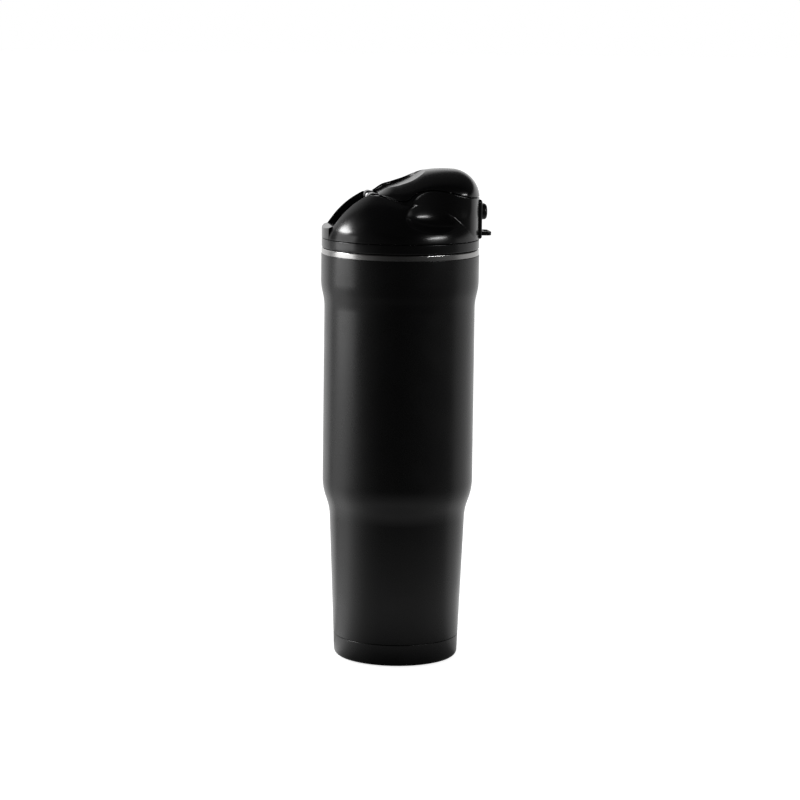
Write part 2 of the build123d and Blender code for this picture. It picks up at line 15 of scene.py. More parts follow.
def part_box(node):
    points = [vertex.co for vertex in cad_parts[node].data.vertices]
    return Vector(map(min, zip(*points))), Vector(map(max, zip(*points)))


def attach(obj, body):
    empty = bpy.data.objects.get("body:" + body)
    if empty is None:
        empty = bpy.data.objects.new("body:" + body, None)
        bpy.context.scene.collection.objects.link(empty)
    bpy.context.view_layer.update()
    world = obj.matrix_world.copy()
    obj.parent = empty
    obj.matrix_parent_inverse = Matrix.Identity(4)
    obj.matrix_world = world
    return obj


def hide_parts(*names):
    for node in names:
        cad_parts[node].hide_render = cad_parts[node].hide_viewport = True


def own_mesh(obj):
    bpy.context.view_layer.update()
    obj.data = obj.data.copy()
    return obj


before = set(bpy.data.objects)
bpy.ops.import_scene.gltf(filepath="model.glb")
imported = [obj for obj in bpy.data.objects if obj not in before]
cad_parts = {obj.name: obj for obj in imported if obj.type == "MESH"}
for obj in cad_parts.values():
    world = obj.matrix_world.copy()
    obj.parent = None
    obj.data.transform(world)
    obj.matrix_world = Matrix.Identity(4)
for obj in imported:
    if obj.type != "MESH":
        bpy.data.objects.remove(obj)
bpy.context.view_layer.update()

# ---- Sizes read from the frame --------------------------------------------------------------
shell_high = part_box("outer_shell")[1]
liner_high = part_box("inner_liner")[1]
plug_low, plug_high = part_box("lid_plug")
spout_low, spout_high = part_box("spout")
button_low, button_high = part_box("push_button")
lever_low, lever_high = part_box("lock_lever")
pin_low, pin_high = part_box("hinge_pin")
cap_low, cap_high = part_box("base_cap")
pad_low, pad_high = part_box("base_pad")
gasket_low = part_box("lid_gasket")[0]
spring_low, spring_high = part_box("button_spring")
hinge_low, hinge_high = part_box("hinge_spring")

lip_top = liner_high[2]
lid_under = lip_top + 0.0003
box_clear = 0.00002
collar_radius = shell_high[1] - box_clear
lip_radius = liner_high[1]
MM = 0.001

# ---- The lid's forms, in millimetres above its underside ------------------------------------
ring_radius = collar_radius / MM
ring_top = (plug_high[2] - lid_under) / MM
dome_edge = 9.3
dome_rise = 30.6
edge_radius = ring_radius - 0.3
ring_edge = ring_radius - 0.15
dome_radius = (edge_radius**2 + dome_rise**2) / (2 * dome_rise)
dome_centre = dome_edge + dome_rise - dome_radius

channel_half = 14.4
channel_floor = 13.6
channel_end = -12.6
sill_start = -(ring_radius - channel_floor + dome_edge)
sill_slope = 0.4
basin_start = channel_end + 3.0
basin_floor = 18.3
relief_height = 28.7
rim_width = 2.8
rim_round = 0.25
channel_round = 0.9
lip_round = 0.9
cove_round = 1.2
hinge_x = -18.6
hinge_height = 30.6
notch_height = 32.7
notch_start = -21.0
parting_gap = 0.6
cover_wall = 2.0
cover_start = -15.6
trough_half = 12.5
trough_swell = 5.0
swell_short = 2.6
trough_end = 14.5
spout_x = 20.0

nose_radius = ring_radius - 0.4
boss_face = nose_radius + 0.9
boss_half = 11.0
boss_low = ring_top + 0.2
boss_top = 29.6
button_height_mid = ((button_low[2] + button_high[2]) / 2 - lid_under) / MM
lever_height_mid = ((lever_low[2] + lever_high[2]) / 2 - lid_under) / MM
button_size = ((button_high[1] - button_low[1]) / MM, (button_high[2] - button_low[2]) / MM)
pocket_size = (16.8, 9.4)
pocket_mid = lever_height_mid - 1.8 + pocket_size[1] / 2
button_clear = 0.2
hatch_half = button_size[0] / 2 + button_clear
hatch_top = button_height_mid + button_size[1] / 2 + button_clear
nose_half = 29.8
nose_round = 17.3
nose_side = 30.3
nose_last = 0.985
round_steps = 6
least_round = 1e-3
halvings = 34
beyond_lid = 80.0

# Sections of the cover: X, half width, top of the upright sides, crest.
cover_stations = [
    (-15.6, 21.3, 31.7, 34.4), (-10.0, 27.4, 29.9, 38.7), (-4.0, 32.4, 27.7, 41.0),
    (3.0, 32.8, 29.3, 43.3), (11.0, 31.2, 32.3, 46.1), (20.0, 29.9, 33.3, 47.5),
]
# Middle of the gap between lid body and cover: X, height.
parting_line = [
    (-15.6, 32.6), (-10.4, 31.4), (-5.2, 30.2), (-1.2, 30.2), (2.4, 32.7), (6.0, 34.9),
    (10.0, 36.1), (17.0, 36.5), (26.0, 35.1), (34.0, 33.0), (42.0, 31.6), (60.0, 31.1),
]
# Thumb scoops: middle and half sizes of the near ellipsoid, and how it bends inwards along X.
scoop_middle = (20.5, 45.0, 30.7)
scoop_size = (25.0, 16.0, 18.5)
scoop_bend = 0.035
# Floor of the finger trough in the cover: X, height.
trough_line = [(-20.0, 29.9), (-9.0, 35.3), (0.0, 38.2), (8.0, 41.9), (16.0, 48.3)]


def nose_stations():
    """Sections of the nose: a circle in side view, sides blended with the plan circle."""
    step = np.array([0.0, 0.2, 0.4, 0.55, 0.68, 0.79, 0.87, 0.93, 0.965, nose_last])
    x = nose_radius - nose_round * (1 - step)
    plan = np.sqrt(nose_radius**2 - x**2)
    half = (nose_half**-8.0 + plan**-8.0) ** -0.125
    side = nose_side + 2 * (1 - step)
    top = nose_side + nose_round * np.sqrt(1 - step**2)
    return np.column_stack([x, half, side, top])


stations = np.vstack([np.array(cover_stations), nose_stations()])
nose_tip = stations[-1, 0]


def curve_through(px, py, x):
    """Smooth curve through points: cubic pieces that share the mean slope at each point."""
    slope = np.gradient(py, px)
    k = np.clip(np.searchsorted(px, x) - 1, 0, len(px) - 2)
    h = px[k + 1] - px[k]
    t = np.clip((x - px[k]) / h, 0.0, 1.0)
    return (
        (2 * t**3 - 3 * t**2 + 1) * py[k] + (t**3 - 2 * t**2 + t) * h * slope[k]
        + (3 * t**2 - 2 * t**3) * py[k + 1] + (t**3 - t**2) * h * slope[k + 1]
    )


def half_width(x):
    """Half the nose's width at X, through the stations' second values."""
    return curve_through(stations[:, 0], stations[:, 1], x)


def side_height(x):
    """Height at X where the nose's upright sides end and its crown begins."""
    return curve_through(stations[:, 0], stations[:, 2], x)


def crest_height(x):
    """Height of the nose's crown at X on the mid-plane."""
    return curve_through(stations[:, 0], stations[:, 3], x)


def parting_height(x):
    """Middle of the gap between the lid body and the cover at X, through the line's points."""
    points = np.array(parting_line)
    return curve_through(points[:, 0], points[:, 1], x)


def trough_height(x):
    """Floor of the cover's finger trough at X, through the line's points."""
    points = np.array(trough_line)
    return curve_through(points[:, 0], points[:, 1], x)


def smooth_max(a, b, width):
    """Larger of two distances; where they differ by less than width a parabola rounds the crease."""
    hump = np.maximum(width - np.abs(a - b), 0.0)
    return np.maximum(a, b) + hump * hump / (4 * width)


def smooth_min(a, b, width):
    """Smaller of two distances, with its crease rounded in the same way."""
    return -smooth_max(-a, -b, width)


def dome_form(p):
    """Distance outside the dome: a sphere held inside the ring's upright wall."""
    r = np.hypot(p[..., 0], p[..., 1])
    sphere = np.sqrt(r**2 + (p[..., 2] - dome_centre) ** 2) - dome_radius
    return smooth_max(sphere, r - ring_radius, 2.2)


def nose_form(p):
    """Distance outside the cover's form: upright sides under half an ellipse, at each X."""
    x = np.minimum(p[..., 0], nose_tip)
    w = half_width(x)
    side = side_height(x)
    rise = crest_height(x) - side
    up = np.maximum(p[..., 2] - side, 0.0)
    q = np.sqrt((p[..., 1] / w) ** 2 + (up / rise) ** 2) + 1e-9
    slope = np.sqrt((p[..., 1] / w**2) ** 2 + (up / rise**2) ** 2) / q + 1e-9
    return np.maximum((q - 1) / slope, p[..., 0] - nose_tip)


def scoop_form(p):
    """Distance outside the thumb scoops: two ellipsoids along X, bent in towards the nose's tip."""
    bend = scoop_bend * np.maximum(p[..., 0] - scoop_middle[0] - 3.5, 0.0) ** 2
    along = (p[..., 0] - scoop_middle[0]) / scoop_size[0]
    across = (np.abs(p[..., 1]) - scoop_middle[1] + bend) / scoop_size[1]
    height = (p[..., 2] - scoop_middle[2]) / scoop_size[2]
    q = (along**2 + across**2 + height**4) ** 0.5 + 1e-9
    slope = np.sqrt(
        (along / scoop_size[0]) ** 2 + (across / scoop_size[1]) ** 2
        + (2 * height**3 / scoop_size[2]) ** 2
    ) / q + 1e-9
    return (q - 1) / slope


def rim_height(x):
    """Top of the lid body under the cover: the parting line, a notch at the hinge, then open."""
    under_cover = parting_height(x) - parting_gap / 2
    behind = notch_height + np.maximum(notch_start - x, 0.0) * 4
    return np.where(x > cover_start, under_cover, behind)


def body_form(p):
    """Distance outside the lid body: dome and nose joined, scoops cut, top cut at the rim."""
    nose = np.maximum(nose_form(p), cover_start - p[..., 0])
    joined = smooth_min(dome_form(p), nose, 0.2)
    scooped = smooth_max(joined, -scoop_form(p), 1.0)
    return smooth_max(scooped, p[..., 2] - rim_height(p[..., 0]), 0.5)


def reach(inside, shape, far):
    """Largest distance along each ray at which the test still holds, by halving intervals."""
    low = np.zeros(shape)
    high = np.full(shape, float(far))
    for _ in range(halvings):
        middle = (low + high) / 2
        held = inside(middle)
        low = np.where(held, middle, low)
        high = np.where(held, high, middle)
    return low


def cast(form, centre, direction, far, level=0.0):
    """Points where rays from the centre leave the form's level."""

    def inside(distance):
        return form(centre + direction * distance[..., None]) < level

    return centre + direction * reach(inside, direction.shape[:-1], far)[..., None]


def unit(v):
    """Vectors divided by their lengths."""
    return v / np.maximum(np.linalg.norm(v, axis=-1, keepdims=True), 1e-9)


def slope_of(form, p):
    """Outward normal of a form, from differences over a fiftieth of a millimetre."""
    step = 0.02
    parts = [form(p + step * axis) - form(p - step * axis) for axis in np.eye(3)]
    return unit(np.stack(parts, axis=-1))


def round_edge(edge, normal_a, normal_b, radius, rows):
    """Arc that rounds an edge between two faces: rows points from face a over to face b."""
    spread = 1 + (normal_a * normal_b).sum(axis=-1, keepdims=True)
    centre = edge - radius[:, None] * (normal_a + normal_b) / spread
    return centre + radius[:, None] * unit(between(normal_a, normal_b, rows))


def xyz(x, y, z):
    """Points from their coordinates; a single number stands for the same value all along."""
    return np.stack(np.broadcast_arrays(x, y, z), axis=-1)


def raised(plan, height):
    """Plan points set at a height, or each at its own."""
    return xyz(*plan.T, height)


def at_depth(loop, x):
    """Loop of (y, z) points set at depth x."""
    return xyz(x, *loop.T)


def between(a, b, rows):
    """Mixes of two sets of points in even steps, from the first to the second."""
    t = np.linspace(0, 1, rows)[:, None, None]
    return a * (1 - t) + b * t


def lid_place(points):
    """Millimetres above the lid's underside to metres in the frame."""
    placed = np.asarray(points, dtype=float) * MM
    placed[..., 2] += lid_under
    return placed


# ---- Meshes ---------------------------------------------------------------------------------
def grid_faces(rows, columns, start=0, close=False):
    """Quads of a grid whose points are stored row by row; close joins the last column back."""
    i = np.arange(rows - 1)[:, None]
    j = np.arange(columns if close else columns - 1)[None, :]
    k = (j + 1) % columns
    quads = np.stack(
        [i * columns + j, i * columns + k, (i + 1) * columns + k, (i + 1) * columns + j], axis=-1
    )
    return quads.reshape(-1, 4) + start


def lid_patch(rows, close=True):
    """Patch of the lid from rows of points in millimetres; close joins each row's ends."""
    rows = np.array(rows)
    return lid_place(rows), grid_faces(len(rows), rows.shape[1], close=close)


def leave_open(patch, opening):
    """The patch without the quads whose middles lie in an opening, given as a test on points."""
    points, faces = patch
    middles = np.asarray(points).reshape(-1, 3)[faces].mean(axis=1)
    return points, faces[~opening(middles)]


def turned_out(patch, index, outward):
    """The patch, turned over where the quad at this index doesn't face outward; -1 is the last."""
    points, faces = patch
    a, b, c, d = np.asarray(points).reshape(-1, 3)[faces[index]]
    if np.cross(c - a, d - b) @ np.array(outward) < 0:
        faces = faces[:, ::-1]
    return points, faces


def add_object(name, data):
    """A new object of the scene for this mesh, lamp or camera."""
    item = bpy.data.objects.new(name, data)
    bpy.context.scene.collection.objects.link(item)
    return item


def make_piece(name, patches, material, body, replaces=(), merge=1e-6, smooth=35, closed=True):
    """One object from patches of (points, faces), with doubles merged.

    A closed piece has its normals recalculated; patches of an open one already face outwards.
    """
    points = []
    faces = []
    count = 0
    for patch_points, patch_faces in patches:
        flat = np.asarray(patch_points, dtype=float).reshape(-1, 3)
        points.append(flat)
        faces.append(np.asarray(patch_faces) + count)
        count += len(flat)
    mesh = bpy.data.meshes.new(name)
    mesh.from_pydata(np.vstack(points).tolist(), [], [f for part in faces for f in part.tolist()])
    clean_mesh(mesh, merge, smooth, closed)
    mesh.materials.append(material)
    piece = add_object(name, mesh)
    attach(piece, body)
    if replaces:
        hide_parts(*replaces)
    return piece


def clean_mesh(mesh, merge, smooth, closed):
    """Merges doubles, drops empty faces, turns normals outwards and smooths under an angle."""
    work = bmesh.new()
    work.from_mesh(mesh)
    bmesh.ops.remove_doubles(work, verts=work.verts, dist=merge)
    bmesh.ops.dissolve_degenerate(work, edges=work.edges, dist=merge)
    if closed:
        bmesh.ops.holes_fill(work, edges=work.edges, sides=0)
        bmesh.ops.recalc_face_normals(work, faces=work.faces)
    for face in work.faces:
        face.smooth = True
    for edge in work.edges:
        if len(edge.link_faces) == 2 and edge.calc_face_angle(0.0) > radians(smooth):
            edge.smooth = False
    work.to_mesh(mesh)
    work.free()


def mirrored(patch):
    """The same patch on the other side of the lid's mid-plane."""
    points, faces = patch
    flipped = np.array(points, dtype=float)
    flipped[..., 1] *= -1
    return flipped, np.asarray(faces)[:, ::-1]


def rounded(points, radii, count=7):
    """Profile with its corners rounded: each corner becomes an arc tangent to both its sides."""
    outline = np.array(points, dtype=float)
    result = [outline[0]]
    for k in range(1, len(outline) - 1):
        corner = outline[k]
        back = unit(outline[k - 1] - corner)
        ahead = unit(outline[k + 1] - corner)
        half_angle = np.arccos(np.clip(back @ ahead, -1, 1)) / 2
        radius = radii[k - 1]
        if radius <= 0 or half_angle > radians(89.9):
            result.append(corner)
            continue
        along = min(
            radius / np.tan(half_angle),
            0.49 * np.linalg.norm(outline[k - 1] - corner),
            0.49 * np.linalg.norm(outline[k + 1] - corner),
        )
        radius = along * np.tan(half_angle)
        centre = corner + unit(back + ahead) * radius / np.sin(half_angle)
        first = corner + back * along - centre
        last = corner + ahead * along - centre
        for t in np.linspace(0, 1, count):
            result.append(centre + unit(first * (1 - t) + last * t) * radius)
    result.append(outline[-1])
    return np.array(result)


def turned(profile, segments=192, axis_point=(0.0, 0.0)):
    """Profile of (radius, height) turned round a vertical axis."""
    profile = np.asarray(profile)
    radius, height = profile[:, :1], profile[:, 1:]
    angle = np.linspace(0, 2 * pi, segments, endpoint=False)
    points = xyz(
        axis_point[0] + radius * np.cos(angle), axis_point[1] + radius * np.sin(angle), height
    )
    return points, grid_faces(len(profile), segments, close=True)


def spaced(profile, step):
    """Adds points along the profile's long straight runs, so that reflections stay even."""
    result = [profile[0]]
    for a, b in zip(profile[:-1], profile[1:]):
        pieces = max(1, int(np.linalg.norm(b - a) / step))
        for t in np.linspace(0, 1, pieces + 1)[1:]:
            result.append(a + (b - a) * t)
    return np.array(result)


def tube(path, radius, axis, sides=12):
    """Round wire along a coil, closed at both ends.

    Circles lie across the path, started from the side that faces away from the coil's axis.
    """
    along = unit(np.gradient(path, axis=0))
    across = unit(np.cross(along, axis))
    other = np.cross(along, across)
    angle = np.linspace(0, 2 * pi, sides, endpoint=False)[None, :, None]
    spokes = np.cos(angle) * across[:, None] + np.sin(angle) * other[:, None]
    rings = path[:, None] + radius * spokes
    ends = [np.repeat(path[:1, None], sides, axis=1), np.repeat(path[-1:, None], sides, axis=1)]
    points = np.concatenate([ends[0], rings, ends[1]])
    return points, grid_faces(len(path) + 2, sides, close=True)


# ---- Materials ------------------------------------------------------------------------------
def new_material(name, base, roughness, metallic=0.0):
    """A Principled material; what is the same all over is set on the shader's own sockets."""
    material = bpy.data.materials.new(name)
    material.use_nodes = True
    shader = material.node_tree.nodes["Principled BSDF"]
    shader.inputs["Base Color"].default_value = (*base, 1)
    shader.inputs["Roughness"].default_value = roughness
    shader.inputs["Metallic"].default_value = metallic
    return material, material.node_tree, shader


def add_node(tree, kind, operation=None, **inputs):
    """A new shader node; each keyword sets the input of that name, with _ for a space."""
    node = tree.nodes.new("ShaderNode" + kind)
    if operation:
        node.operation = operation
    for name, value in inputs.items():
        node.inputs[name.replace("_", " ")].default_value = value
    return node


def join(tree, *wires):
    """Links sockets of a node tree, each given as (node, output, node, input)."""
    for source, output, target, entry in wires:
        tree.links.new(source.outputs[output], target.inputs[entry])


def new_group(name, inputs, outputs):
    """Node group with its input and output nodes; sockets are given as {name: kind}."""
    group = bpy.data.node_groups.new(name, "ShaderNodeTree")
    for way, sockets in (("INPUT", inputs), ("OUTPUT", outputs)):
        for socket, kind in sockets.items():
            group.interface.new_socket(socket, in_out=way, socket_type="NodeSocket" + kind)
    return group, group.nodes.new("NodeGroupInput"), group.nodes.new("NodeGroupOutput")


def surface_grain():
    """Node group: fine grain at a given scale, as a height, and a mask that varies roughness."""
    group, given, result = new_group(
        "surface_grain", {"Scale": "Float", "Rough Low": "Float", "Rough High": "Float"},
        {"Height": "Float", "Roughness": "Float"},
    )
    place = add_node(group, "TexCoord")
    grain = add_node(group, "TexNoise", Detail=2.0)
    cloud = add_node(group, "TexNoise", Scale=60.0, Detail=4.0)
    spread = add_node(group, "MapRange", From_Min=0.3, From_Max=0.7)
    join(
        group,
        (place, "Object", grain, "Vector"), (place, "Object", cloud, "Vector"),
        (given, "Scale", grain, "Scale"), (given, "Rough Low", spread, "To Min"),
        (given, "Rough High", spread, "To Max"), (cloud, "Fac", spread, "Value"),
        (grain, "Fac", result, "Height"), (spread, "Result", result, "Roughness"),
    )
    return group


grain_group = surface_grain()


def add_grain(tree, shader, scale, low, high, depth, strength=0.5):
    """Feeds the grain group's height to a bump and its roughness to the shader."""
    grain = tree.nodes.new("ShaderNodeGroup")
    grain.node_tree = grain_group
    for name, value in (("Scale", scale), ("Rough Low", low), ("Rough High", high)):
        grain.inputs[name].default_value = value
    bump = add_node(tree, "Bump", Strength=strength, Distance=depth)
    join(
        tree, (grain, "Height", bump, "Height"), (grain, "Roughness", shader, "Roughness"),
        (bump, "Normal", shader, "Normal"),
    )


def powder_coat():
    """Satin black powder coat with a fine orange-peel grain."""
    material, tree, shader = new_material("powder_coat", (0.0025, 0.0025, 0.0026), 0.28)
    add_grain(tree, shader, 1500.0, 0.24, 0.3, 0.00004, 0.2)
    return material


def gloss_black():
    """Polished black moulding with faint haze."""
    material, tree, shader = new_material("gloss_black", (0.0022, 0.0022, 0.0024), 0.12)
    add_grain(tree, shader, 300.0, 0.18, 0.22, 0.00001, 0.1)
    return material


def satin_black(name="satin_black", low=0.26, high=0.34):
    """Spark-textured black moulding."""
    material, tree, shader = new_material(name, (0.004, 0.004, 0.0042), 0.3)
    add_grain(tree, shader, 2600.0, low, high, 0.00004, 0.4)
    return material


def soft_rubber():
    """Matt black rubber with a dusty bloom."""
    material, tree, shader = new_material("soft_rubber", (0.012, 0.012, 0.012), 0.6)
    add_grain(tree, shader, 900.0, 0.55, 0.72, 0.00005, 0.4)
    return material


def seal_silicone():
    """Smooth black silicone of the seals."""
    material, tree, shader = new_material("seal_silicone", (0.018, 0.018, 0.02), 0.42)
    add_grain(tree, shader, 500.0, 0.36, 0.5, 0.00003, 0.3)
    return material


def brushed_steel():
    """Stainless steel brushed round the cup's axis: noise stretched along the turning lines."""
    material, tree, shader = new_material("brushed_steel", (0.42, 0.415, 0.41), 0.3, metallic=1.0)
    place = add_node(tree, "TexCoord")
    stretch = add_node(tree, "Mapping", Scale=(12.0, 12.0, 2600.0))
    lines = add_node(tree, "TexNoise", Scale=1.0, Detail=3.0)
    rough = add_node(tree, "MapRange", To_Min=0.14, To_Max=0.3)
    bump = add_node(tree, "Bump", Strength=0.2, Distance=0.00003)
    join(
        tree,
        (place, "Object", stretch, "Vector"), (stretch, "Vector", lines, "Vector"),
        (lines, "Fac", rough, "Value"), (rough, "Result", shader, "Roughness"),
        (lines, "Fac", bump, "Height"), (bump, "Normal", shader, "Normal"),
    )
    return material


def drawn_wire():
    """Bright spring and pin steel with drawing marks."""
    material, tree, shader = new_material("drawn_wire", (0.5, 0.5, 0.5), 0.3, metallic=1.0)
    add_grain(tree, shader, 1800.0, 0.22, 0.4, 0.00002, 0.3)
    return material


def dull_solder():
    """Dull grey bead of glass solder, and the getter's pressed steel."""
    material, tree, shader = new_material("dull_solder", (0.3, 0.3, 0.31), 0.55, metallic=0.8)
    add_grain(tree, shader, 700.0, 0.45, 0.65, 0.00008, 0.4)
    return material


coat = powder_coat()
gloss = gloss_black()
satin = satin_black()
rubber = soft_rubber()
silicone = seal_silicone()
steel = brushed_steel()
wire = drawn_wire()
solder = dull_solder()

for node, finish in {
    "outer_shell": coat, "inner_liner": steel, "base_cap": coat, "vacuum_plug": solder,
    "getter": solder, "base_pad": rubber, "lid_plug": gloss, "lid_gasket": silicone,
    "lid_body": gloss, "spout": satin, "vent_tube": satin, "hinge_pin": wire,
    "hinge_spring": wire, "flip_cover": gloss, "cover_plate": satin, "spout_seal": silicone,
    "vent_seal": silicone, "push_button": satin, "latch": satin, "button_spring": wire,
    "lock_lever": satin, "lock_pin": wire,
}.items():
    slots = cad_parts[node].data.materials
    slots.clear()
    slots.append(finish)


# ---- Lid body -------------------------------------------------------------------------------
foot_rows = ((2.2, 2.0), (2.2, 0.3), (0.2, 0.3), (0.04, 0.4))
foot_inset, foot_rise = foot_rows[0]
skin_rows = 112
ring_segments = 160
collar = 10.7


def sill_height(x):
    """Channel floor: level, then falling gently from the sill to the ring's face."""
    return np.minimum(channel_floor, channel_floor + sill_slope * (x - sill_start))


def rim_columns():
    """Azimuth and radius of the rim's inner outline on the near side, from the sill to the nose."""
    start = pi + np.arcsin(channel_half / ring_radius)
    hatch_side = 2 * pi - np.arctan2(hatch_half, nose_radius - rim_width)
    azimuth = np.concatenate([
        np.linspace(start, hatch_side, 270, endpoint=False), np.linspace(hatch_side, 2 * pi, 30)
    ])
    direction = np.stack([np.cos(azimuth), np.sin(azimuth)], axis=-1)
    along_channel = channel_half / np.maximum(-direction[:, 1], 1e-6)
    on_channel = along_channel * direction[:, 0] < basin_start

    def in_basin(distance):
        flat = direction * distance[:, None]
        height = rim_height(np.maximum(flat[:, 0], cover_start + 0.01))
        return nose_form(raised(flat, height)) < -rim_width

    along_basin = reach(in_basin, len(azimuth), beyond_lid)
    behind = (along_basin * direction[:, 0] < basin_start) & ~on_channel
    across = basin_start / np.minimum(direction[:, 0], -1e-6)
    radius = np.where(on_channel, along_channel, np.where(behind, across, along_basin))
    return azimuth, np.minimum(radius, ring_radius - 0.05), on_channel, behind


def wall_facing(flat, on_channel, behind):
    """Level direction that each column's inner wall faces, turned through the corner between."""
    facing = -slope_of(nose_form, raised(flat, 20.0))
    facing[:, 2] = 0
    turn = np.clip((-channel_half - flat[:, 1]) / 1.5, 0, 1)
    facing[on_channel] = (0, 1, 0)
    facing[behind] = xyz(turn, 1 - turn, 0)[behind]
    return unit(facing)


def inner_wall(top, floor):
    """Wall below the rim: even steps down to the hatch's lintel, then on down to the floor."""
    below = raised(top[:, :2], np.minimum(floor, top[:, 2]))
    lintel = raised(top[:, :2], np.clip(hatch_top, below[:, 2], top[:, 2]))
    return np.concatenate([between(top, lintel, 4)[1:], between(lintel, below, 8)[1:]])


def body_skin(rim):
    """Ring wall and outer skin: rays from a centre, fanned up in each column from ring to rim."""
    centre = np.array([0.0, 0.0, 8.0])
    start = rim - centre
    plan = np.hypot(start[:, 0], start[:, 1])
    heading = start[:, :2] / plan[:, None]
    top_angle = np.arctan2(start[:, 2], plan)
    foot_angle = np.arctan2(ring_top + 0.6 - centre[2], ring_radius)
    t = np.linspace(0, 1, skin_rows)[:, None]
    angle = foot_angle + (top_angle - foot_angle) * t ** 0.9
    level = np.cos(angle)
    rays = xyz(level * heading[:, 0], level * heading[:, 1], np.sin(angle))
    skin = cast(body_form, centre, rays, beyond_lid)
    skin[-1] = rim
    foot_reach = np.hypot(skin[:1, :, 0], skin[:1, :, 1]).T
    base = [raised(heading * (foot_reach - inset), ring_top + rise) for inset, rise in foot_rows]
    return np.concatenate([np.array(base), skin])


def lid_body_side():
    """Near half of the lid body: ring wall, outer skin, rounded rim edge, and the wall inside it.

    Each column lies in one upright plane through the axis. Its skin points are where rays from
    a centre inside the dome leave the body's form.
    """
    azimuth, radius, on_channel, behind = rim_columns()
    flat = np.stack([radius * np.cos(azimuth), radius * np.sin(azimuth)], axis=-1)
    foot = raised(flat, 0.0)
    edge = cast(body_form, foot, np.broadcast_to([0.0, 0.0, 1.0], foot.shape), beyond_lid)
    floor = np.where(
        on_channel & (flat[:, 0] < channel_end), sill_height(flat[:, 0]),
        np.where(on_channel, relief_height, basin_floor),
    )
    depth = np.maximum(edge[:, 2] - floor, 0.0)
    bend = np.minimum(np.where(on_channel, channel_round, rim_round), 0.45 * depth + least_round)
    facing = wall_facing(flat, on_channel, behind)
    rim = round_edge(edge, slope_of(body_form, edge), facing, bend, round_steps)
    points = np.concatenate([body_skin(rim[0]), rim[1:], inner_wall(rim[-1], floor)])
    patch = (points, grid_faces(len(points), points.shape[1]))
    patch = turned_out(patch, 40 * (points.shape[1] - 1) + 150, (0, -1, 0.3))
    return lid_place(points), leave_open(leave_open(patch, boss_bed), hatch)[1]


def boss_bed(p):
    """Part of the nose's skin that the boss covers."""
    outside = nose_form(p) > -0.5
    low, high = boss_low + 0.8, boss_top - 0.7
    return outside & (p[:, 0] > 40) & (np.abs(p[:, 1]) < 10.3) & (p[:, 2] > low) & (p[:, 2] < high)


def hatch(p):
    """Opening in the wall between the button and the basin, where the latch comes through."""
    inside = nose_form(p) < -rim_width + 0.5
    return inside & (p[:, 0] > 40) & (np.abs(p[:, 1]) < hatch_half) & (p[:, 2] < hatch_top)


def lid_sill():
    """Ring face, rounded sill, channel floor and the low wall before the deck, across Y.

    Every column is a profile in XZ. Its first points follow the ring's circle at that Y.
    """
    y = np.linspace(-channel_half, channel_half, 49)
    face = -np.sqrt(ring_edge**2 - y**2)
    base = [xyz(face + inset, y, ring_top + rise) for inset, rise in (*foot_rows, (0.0, 1.0))]
    edge = xyz(face, y, sill_height(face))
    outward = unit(xyz(face, y, 0))
    upward = np.broadcast_to(unit(np.array([-sill_slope, 0, 1.0])), outward.shape)
    corner = round_edge(edge, outward, upward, np.full(len(y), 0.7), 8)
    run = rounded(
        [
            (sill_start - 1.5, channel_floor - 1.5 * sill_slope), (sill_start, channel_floor),
            (channel_end, channel_floor), (channel_end, relief_height),
            (basin_start, relief_height), (basin_start, basin_floor),
        ],
        [2.5, 1.0, 0.6, 0.6],
    )
    rest = [xyz(x, y, z) for x, z in spaced(run, 2.0)]
    points = np.concatenate([np.array(base), corner, np.array(rest)])
    ends = points[:, [0, -1]] * [1, 1, 0] + [0, 0, ring_top + 0.3]
    points = np.concatenate([ends[:, :1], points, ends[:, 1:]], axis=1)
    return turned_out(lid_patch(points, close=False), 16 * (len(y) + 1) + 25, (-1, 0, 1))


def level_circle():
    """Unit circle in plan, as points."""
    azimuth = np.linspace(0, 2 * pi, ring_segments, endpoint=False)
    return xyz(np.cos(azimuth), np.sin(azimuth), 0)


def blended_rings(outer, inner, rows, outward):
    """Level surface between two loops of points, facing the outward direction."""
    return turned_out(lid_patch(between(outer, inner, rows)), 200, outward)


def lid_underside():
    """Hidden underside of the lid body: rings blended from the ring's circle to the spout's."""
    outer = level_circle() * (ring_edge - foot_inset) + [0, 0, ring_top + foot_rise]
    inner = level_circle() * (collar - 0.1) + [spout_x, 0, ring_top + foot_rise]
    return blended_rings(outer, inner, 5, (0, 0, -1))


def lid_deck():
    """Level deck under the cover: rings between the basin's outline and the spout's collar."""
    rays = level_circle()
    centre = np.array([spout_x, 0.0, basin_floor])

    def form(p):
        return np.maximum(nose_form(p) + rim_width - 0.2, basin_start - 0.1 - p[..., 0])

    outline = cast(form, centre, rays, beyond_lid)
    return blended_rings(outline, centre + rays * collar, 6, (0, 0, 1))


def rectangle_ray(angle, low, high, centre):
    """Where rays at these angles from the centre meet an upright rectangle, as (y, z)."""
    c, s = np.cos(angle), np.sin(angle)
    side_y = np.where(c > 0, high[0] - centre[0], centre[0] - low[0])
    side_z = np.where(s > 0, high[1] - centre[1], centre[1] - low[1])
    distance = np.minimum(side_y / np.maximum(np.abs(c), 1e-9), side_z / np.maximum(np.abs(s), 1e-9))
    return np.column_stack([centre[0] + c * distance, centre[1] + s * distance])


def slot_loop(angle, width, height, centre, corner):
    """Rounded rectangle met by rays at these angles; corner is its corner radius."""
    half = np.array([width / 2, height / 2])
    c, s = np.cos(angle), np.sin(angle)

    def inside(distance):
        q = np.abs(np.column_stack([c, s]) * distance[:, None]) - (half - corner)
        outside = np.hypot(np.maximum(q[:, 0], 0), np.maximum(q[:, 1], 0))
        return outside + np.minimum(np.maximum(q[:, 0], q[:, 1]), 0) < corner

    distance = reach(inside, len(angle), width + height)
    return np.column_stack([centre[0] + c * distance, centre[1] + s * distance])


